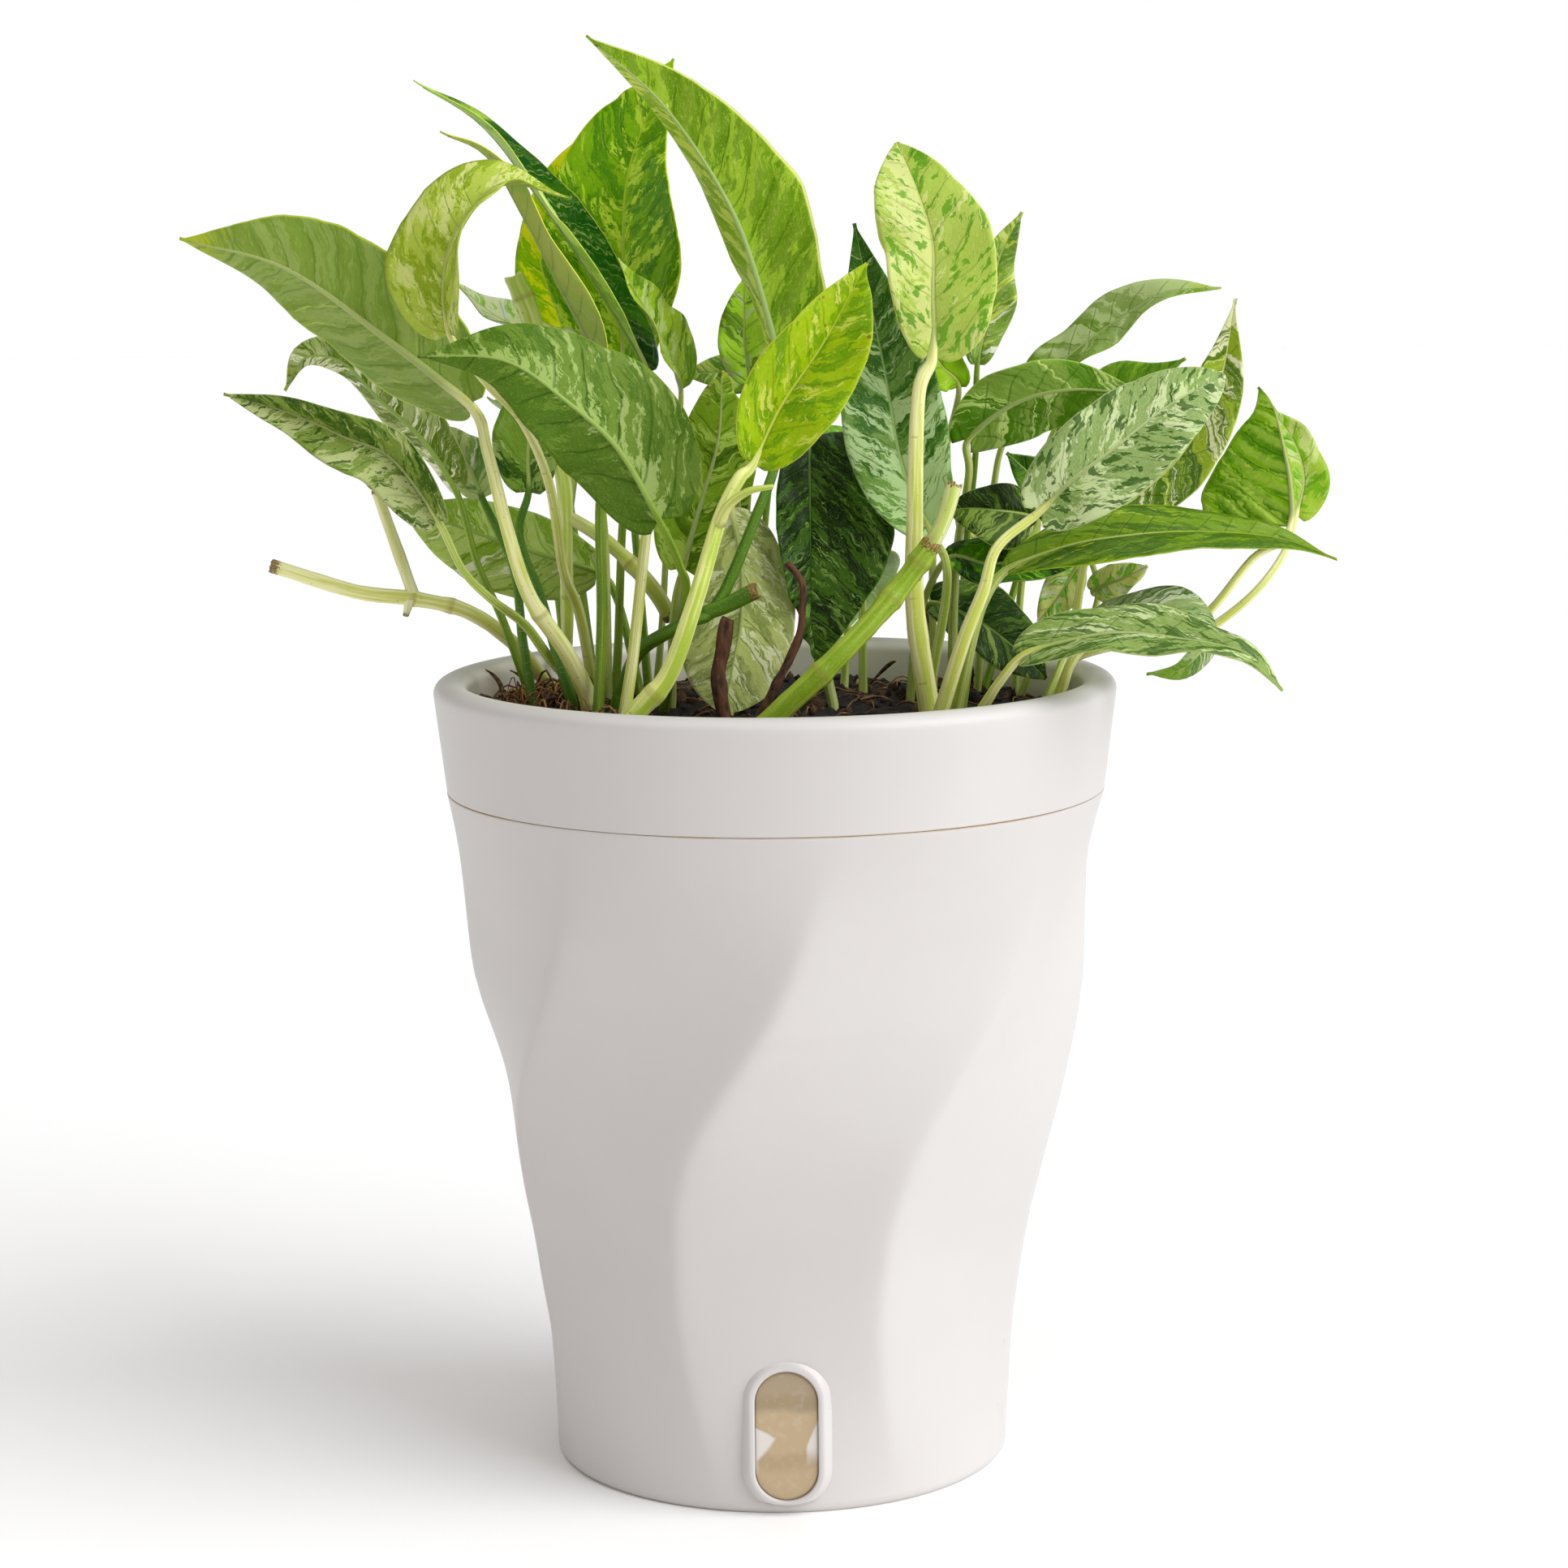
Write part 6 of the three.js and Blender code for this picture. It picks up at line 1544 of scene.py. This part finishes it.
def stalk_finish(name, pale, green, ring, rib=None, brown=0.0):
    """A petiole or green stem: fine lengthwise streaks between two colours, a tan line at each node. The
    midrib that it runs into under the blade has its own colour, and a cut end is brown for a short way."""
    material, f = new_finish(name)
    along, angle, node = f.apart(f.mark("where"))
    run, _, under = f.apart(f.mark("grain"))
    facing_x = f.calc("COSINE", angle)
    streak = f.grain(f.together(facing_x, f.calc("SINE", angle), run * 0.02), 1.6, 4.0, 0.6)
    slow = f.grain(f.together(run * 0.05, facing_x, 2.0), 1.3, 2.0)
    small = f.grain(f.mark("grain"), 2.2, 3.0, 0.6)
    colour = f.mix(f.fade(streak * 0.6 + slow * 0.4, 0.42, 0.6), pale, green)
    colour = f.mix(f.fade(small, 0.55, 0.75) * 0.25, colour, "#f0efcb")
    colour = f.mix(f.fade(node, 0.55, 0.95) * 0.5, colour, ring)
    if rib:
        colour = f.mix(f.fade(under, 0.0, 0.12) * 0.9, colour, rib)
    specks = f.fade(f.cells(f.mark("grain"), 0.45), 0.14, 0.07)
    colour = f.mix(specks * 0.35, colour, "#8a6a32")
    if brown:
        torn = run / along - run + (small - 0.5) * 5.0
        dry = f.mix(f.fade(small, 0.4, 0.6), "#5a3a1a", "#9a7a44")
        colour = f.mix(f.fade(torn, brown, brown * 0.4) * 0.9, colour, dry)
    f.surface(colour, 0.38 + small * 0.16, streak * 0.8 + small * 0.3, 0.5, 0.0004, Specular_IOR_Level=0.3)
    return material


def bark_finish():
    """Dry root bark: dark cracks between brown scales."""
    material, f = new_finish("root_bark")
    run, around, _ = f.apart(f.mark("grain"))
    flat = f.together(run * 0.35, around, 0.0)
    scales = f.cells(flat, 0.9, feature="SMOOTH_F1")
    dust = f.grain(flat, 1.4, 5.0, 0.65)
    colour = f.mix(f.fade(scales, 0.1, 0.6), "#2c170b", "#5f3a1f")
    colour = f.mix(f.fade(dust, 0.5, 0.75) * 0.6, colour, "#8d6238")
    f.surface(colour, 0.72 + dust * 0.2, scales + dust * 0.6, 0.9, 0.0007)
    return material


def soil_finish(name, dark, brown, light):
    """Moist potting mix: dark crumbs, brown peat and a few pale grains."""
    material, f = new_finish(name)
    place = f.place()
    crumbs = f.grain(place, 420.0, 6.0, 0.7)
    clods = f.grain(place, 90.0, 3.0, 0.6)
    tint, _, _ = f.apart(f.mark("where"))
    grains = f.fade(f.cells(place, 620.0), 0.16, 0.08)
    colour = f.mix(f.fade(crumbs + clods * 0.4, 0.55, 0.85), dark, brown)
    colour = f.mix(f.fade(tint, 0.55, 1.0) * 0.7, colour, light)
    colour = f.mix(grains * f.fade(clods, 0.5, 0.6), colour, light)
    f.surface(colour, 0.7 + crumbs * 0.25, crumbs + clods * 0.6, 1.0, 0.0012)
    return material


def fibre_finish():
    """Coconut fibre: each strand its own brown, streaked along its length."""
    material, f = new_finish("coir")
    tint, _, _ = f.apart(f.mark("where"))
    streak = f.grain(f.place(), 900.0, 3.0, 0.6)
    colour = f.mix(f.fade(tint, 0.1, 0.95), "#3a1f0c", "#9a6a38")
    colour = f.mix(f.fade(streak, 0.4, 0.7) * 0.5, colour, "#b98a52")
    f.surface(colour, 0.55 + streak * 0.3, streak, 0.6, 0.0002)
    return material


def plastic_finish(name, gloss, inside=False):
    """Satin white plastic: faint clouding, a very fine moulded grain, soft smudges and a few dust specks, a
    thin tan line of painted shade in the seam, and on the planter a paler inside, painted light for light
    that comes through the plastic."""
    material, f = new_finish(name)
    place = f.place()
    cloud = f.grain(place, 22.0, 3.0)
    smudge = f.fade(f.grain(place, 34.0, 5.0, 0.6, 0.6), 0.62, 0.76)
    some = f.fade(f.grain(place, 17.0, 1.0), 0.56, 0.62)
    specks = f.fade(f.cells(place, 60.0), 0.075, 0.03) * (some * 0.28)
    colour = f.mix(f.fade(cloud, 0.3, 0.7), "#cbc6c3", "#cec9c6")
    colour = f.mix(smudge * 0.1, colour, "#c2bab3")
    colour = f.mix(specks, colour, "#9c938c")
    x, y, z = f.apart(place)
    # Painted shade: a thin tan line in the seam between the body and the collar, mottled by the clouding.
    painted_seam_shade = f.fade(abs(z - SEAM_HEIGHT * MM), 0.0004, 0.0001) * (f.fade(cloud, 0.4, 0.6) + 0.3)
    colour = f.mix(painted_seam_shade * 0.7, colour, "#b8a488")
    if inside:
        # Painted light: the planter is paler within about 68 mm of the axis, taking in its inside wall,
        # standing in for light that comes through the plastic.
        from_axis = f.calc("SQRT", x * x + y * y)
        colour = f.mix(f.fade(from_axis, 0.0695, 0.0675), colour, "#f6eee6")
    mould = f.grain(place, 2600.0, 2.0)
    roughness = gloss + (cloud - 0.5) * 0.12 + smudge * 0.1
    f.surface(colour, roughness, mould, 0.12, 0.0001, Specular_IOR_Level=0.45)
    return material


def pane_finish():
    """The tinted pane: greyish tan above a darker line, light tan below it, a milky wedge at the left, a
    milky crescent at the right, and a slightly darker band near the bottom."""
    material, f = new_finish("tinted_plastic")
    place = f.place()
    x, _, z = f.apart(place)
    u = (x - WINDOW_X * MM) / (WINDOW_WIDTH / 2 * MM)
    v = (z - WINDOW_LOW * MM) / ((WINDOW_HIGH - WINDOW_LOW) * MM)
    v = v + (f.grain(place, 130.0, 2.0) - 0.5) * 0.09
    line = f.fade(v, 0.7, 0.74) * f.fade(v, 0.86, 0.76)
    colour = f.mix(f.fade(v, 0.66, 0.72), PANE_BELOW, PANE_ABOVE)
    colour = f.mix(line * 0.6, colour, PANE_DARK)
    left = u + 1.0
    under = 0.585 - left * 0.14 - v
    beside = f.calc("MAXIMUM", v - 0.3, 0.0) * 3.0 + 0.1 - left
    wedge = f.fade(under, -0.005, 0.02) * f.fade(beside, -0.06, 0.12) * f.fade(v, 0.17, 0.26)
    width = f.fade(v, 0.68, 0.38) * 0.38
    crescent = f.fade(width + (u - 1.0), -0.03, 0.06) * f.fade(v, 0.24, 0.42)
    dark = f.fade(v, 0.4, 0.33) * f.fade(v, 0.2, 0.3)
    colour = f.mix(dark * 0.4, colour, PANE_DARK)
    colour = f.mix(f.calc("MAXIMUM", wedge, crescent) * 0.9, colour, PANE_MILKY)
    haze = f.grain(place, 700.0, 4.0, 0.6)
    colour = f.mix(f.fade(haze, 0.5, 0.7) * 0.1, colour, PANE_MILKY)
    f.surface(colour, 0.14 + haze * 0.14, haze, 0.15, 0.0001, Coat_Weight=0.2)
    return material


# The plant put together


def lay_out(leaf):
    """The leaf with the usual values where it gives none, its whole line from under the soil to the tip,
    the number of the point where its blade starts, and the blade's length."""
    petiole = rooted(leaf["petiole"], leaf["midrib"][0]) if "petiole" in leaf else []
    points = [*petiole, *leaf["midrib"]]
    first = len(petiole)
    return {**LEAF_USUAL, **leaf, "points": points, "first": first, "length": cubic_length(points, first)}


def make_leaf(name, leaf, order, marbling, stalks):
    """A leaf with its petiole, and with the second blade, cut stub or sheath that has grown with it."""
    whole = lay_out(leaf)
    shape = Shape()
    blades = [whole, lay_out(leaf["twin"])] if "twin" in leaf else [whole]
    for blade in blades:
        add_blade(shape, blade, order)
        add_stalk(shape, blade)
    if "spur" in leaf:
        add_rod(shape, leaf["spur"], leaf["spur_radii"], 1, seed=order)
    look = {"spacing": whole["spacing"], **MARBLING[name]}
    skins = [leaf_finish(marbling, name, look, order), stalks[leaf["stem"]]]
    shape.piece(name + "_leaf", skins, ["leaf_" + name])


def make_stem(name, stem, stalks, order):
    """A cut stem or root, with its branches."""
    shape = Shape()
    skins = [stalks[stem[part]] for part in ("skin", "branch") if part in stem]
    rods = [rooted(stem["rods"][0]), *stem["rods"][1:]]
    lumps = 0.16 if stem["skin"] == "bark" else 0.05
    for k, rod in enumerate(rods):
        finish = min(k, len(skins) - 1)
        add_rod(shape, rod, stem["radii"][k], finish, stem["nodes"][k], ROD_SIDES, lumps, 7 * order + k)
    shape.piece(name + "_rod", skins, [name])


def make_plant():
    marbling = write_leaf_group()
    stalks = {key: stalk_finish(*row) for key, row in STALKS.items()}
    stalks["bark"] = bark_finish()
    for order, (name, leaf) in enumerate(LEAVES.items()):
        make_leaf(name, leaf, order, marbling, stalks)
    for order, (name, stem) in enumerate(STEMS.items()):
        make_stem(name, stem, stalks, order + 1)


def make_pot():
    plastic = plastic_finish("satin_white_plastic", 0.4)
    glossy = plastic_finish("glossy_white_plastic", 0.24)
    make_outer_pot(plastic)
    make_window_ring(glossy)
    make_pane(pane_finish())
    make_planter(plastic_finish("satin_white_planter", 0.4, inside=True))
    make_soil(soil_finish("potting_mix", "#0a0604", "#2a1b10", "#583c22"))
    make_crumbs(soil_finish("bark_chips", "#100a06", "#2f1d11", "#6c4e2e"))
    make_fibres(fibre_finish())


# Room, light and camera


def make_floor():
    """A wide pale floor, in two whites that drift into each other."""
    mesh = bpy.data.meshes.new("floor")
    corners = [(x * FLOOR_REACH, y * FLOOR_REACH, 0) for x, y in ((-1, -1), (1, -1), (1, 1), (-1, 1))]
    mesh.from_pydata(corners, [], [(0, 1, 2, 3)])
    floor = bpy.data.objects.new("floor", mesh)
    bpy.context.scene.collection.objects.link(floor)
    material, f = new_finish("pale_floor")
    colour = f.mix(f.grain(f.place(), 1.5, 2.0), "#fcfaf9", "#fefcfb")
    shader = f.step("ShaderNodeBsdfPrincipled", {"Base Color": colour, "Roughness": 0.6})
    f.step("ShaderNodeOutputMaterial", {"Surface": shader}, result=None)
    mesh.materials.append(material)
    floor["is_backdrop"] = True


def facing(place):
    """A placing at place whose -Z axis points to the origin."""
    back = place / np.linalg.norm(place)
    right = np.cross((0, 0, 1), back)
    right /= np.linalg.norm(right)
    up = np.cross(back, right)
    return Matrix([[right[k], up[k], back[k], place[k]] for k in range(3)] + [[0, 0, 0, 1]])


def make_key_light():
    """A wide soft light from the right and the front, as even over the floor as over the pot."""
    data = bpy.data.lights.new("key", "SUN")
    data.energy, data.angle, data.color = KEY_STRENGTH, math.radians(KEY_SOFTNESS), KEY_TONE
    light = bpy.data.objects.new("key", data)
    light.matrix_world = facing(np.array(KEY_PLACE))
    bpy.context.scene.collection.objects.link(light)


def make_sky():
    """The room round the pot: white in a band along the horizon, bright overhead and dim in between, so that
    the side away from the light is shaded."""
    world = bpy.data.worlds.new("studio")
    bpy.context.scene.world = world
    world.use_nodes = True
    world.node_tree.nodes.clear()
    f = Finish(world.node_tree)
    _, _, height = f.apart(f.step("ShaderNodeTexCoord", result="Generated"))
    colour = f.mix(f.fade(height, 0.4, 0.95), SKY_BETWEEN, SKY_OVERHEAD)
    colour = f.mix(f.fade(abs(height), 0.24, 0.1), colour, SKY_HORIZON)
    shader = f.step("ShaderNodeBackground", {"Color": colour, "Strength": 1.0})
    f.step("ShaderNodeOutputWorld", {"Surface": shader}, result=None)


def make_room():
    make_floor()
    make_sky()
    make_key_light()
    bpy.context.scene.view_settings.view_transform = "Standard"


def make_camera():
    """The camera stands before the pot, looks down by its pitch and leans a little to the right."""
    data = bpy.data.cameras.new("camera")
    data.sensor_width, data.lens = CAMERA_SENSOR, CAMERA_LENS
    data.clip_start, data.clip_end = 0.05, 20
    camera = bpy.data.objects.new("camera", data)
    tilt = Matrix.Rotation(math.pi / 2 - CAMERA_PITCH, 4, "X")
    lean = Matrix.Rotation(-CAMERA_LEAN, 4, "Z")
    camera.matrix_world = Matrix.Translation(CAMERA_PLACE) @ tilt @ lean
    bpy.context.scene.collection.objects.link(camera)
    bpy.context.scene.camera = camera


make_camera()
make_room()
make_pot()
make_plant()

{"cad": cad_box, "visual": [list(corner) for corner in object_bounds()]}
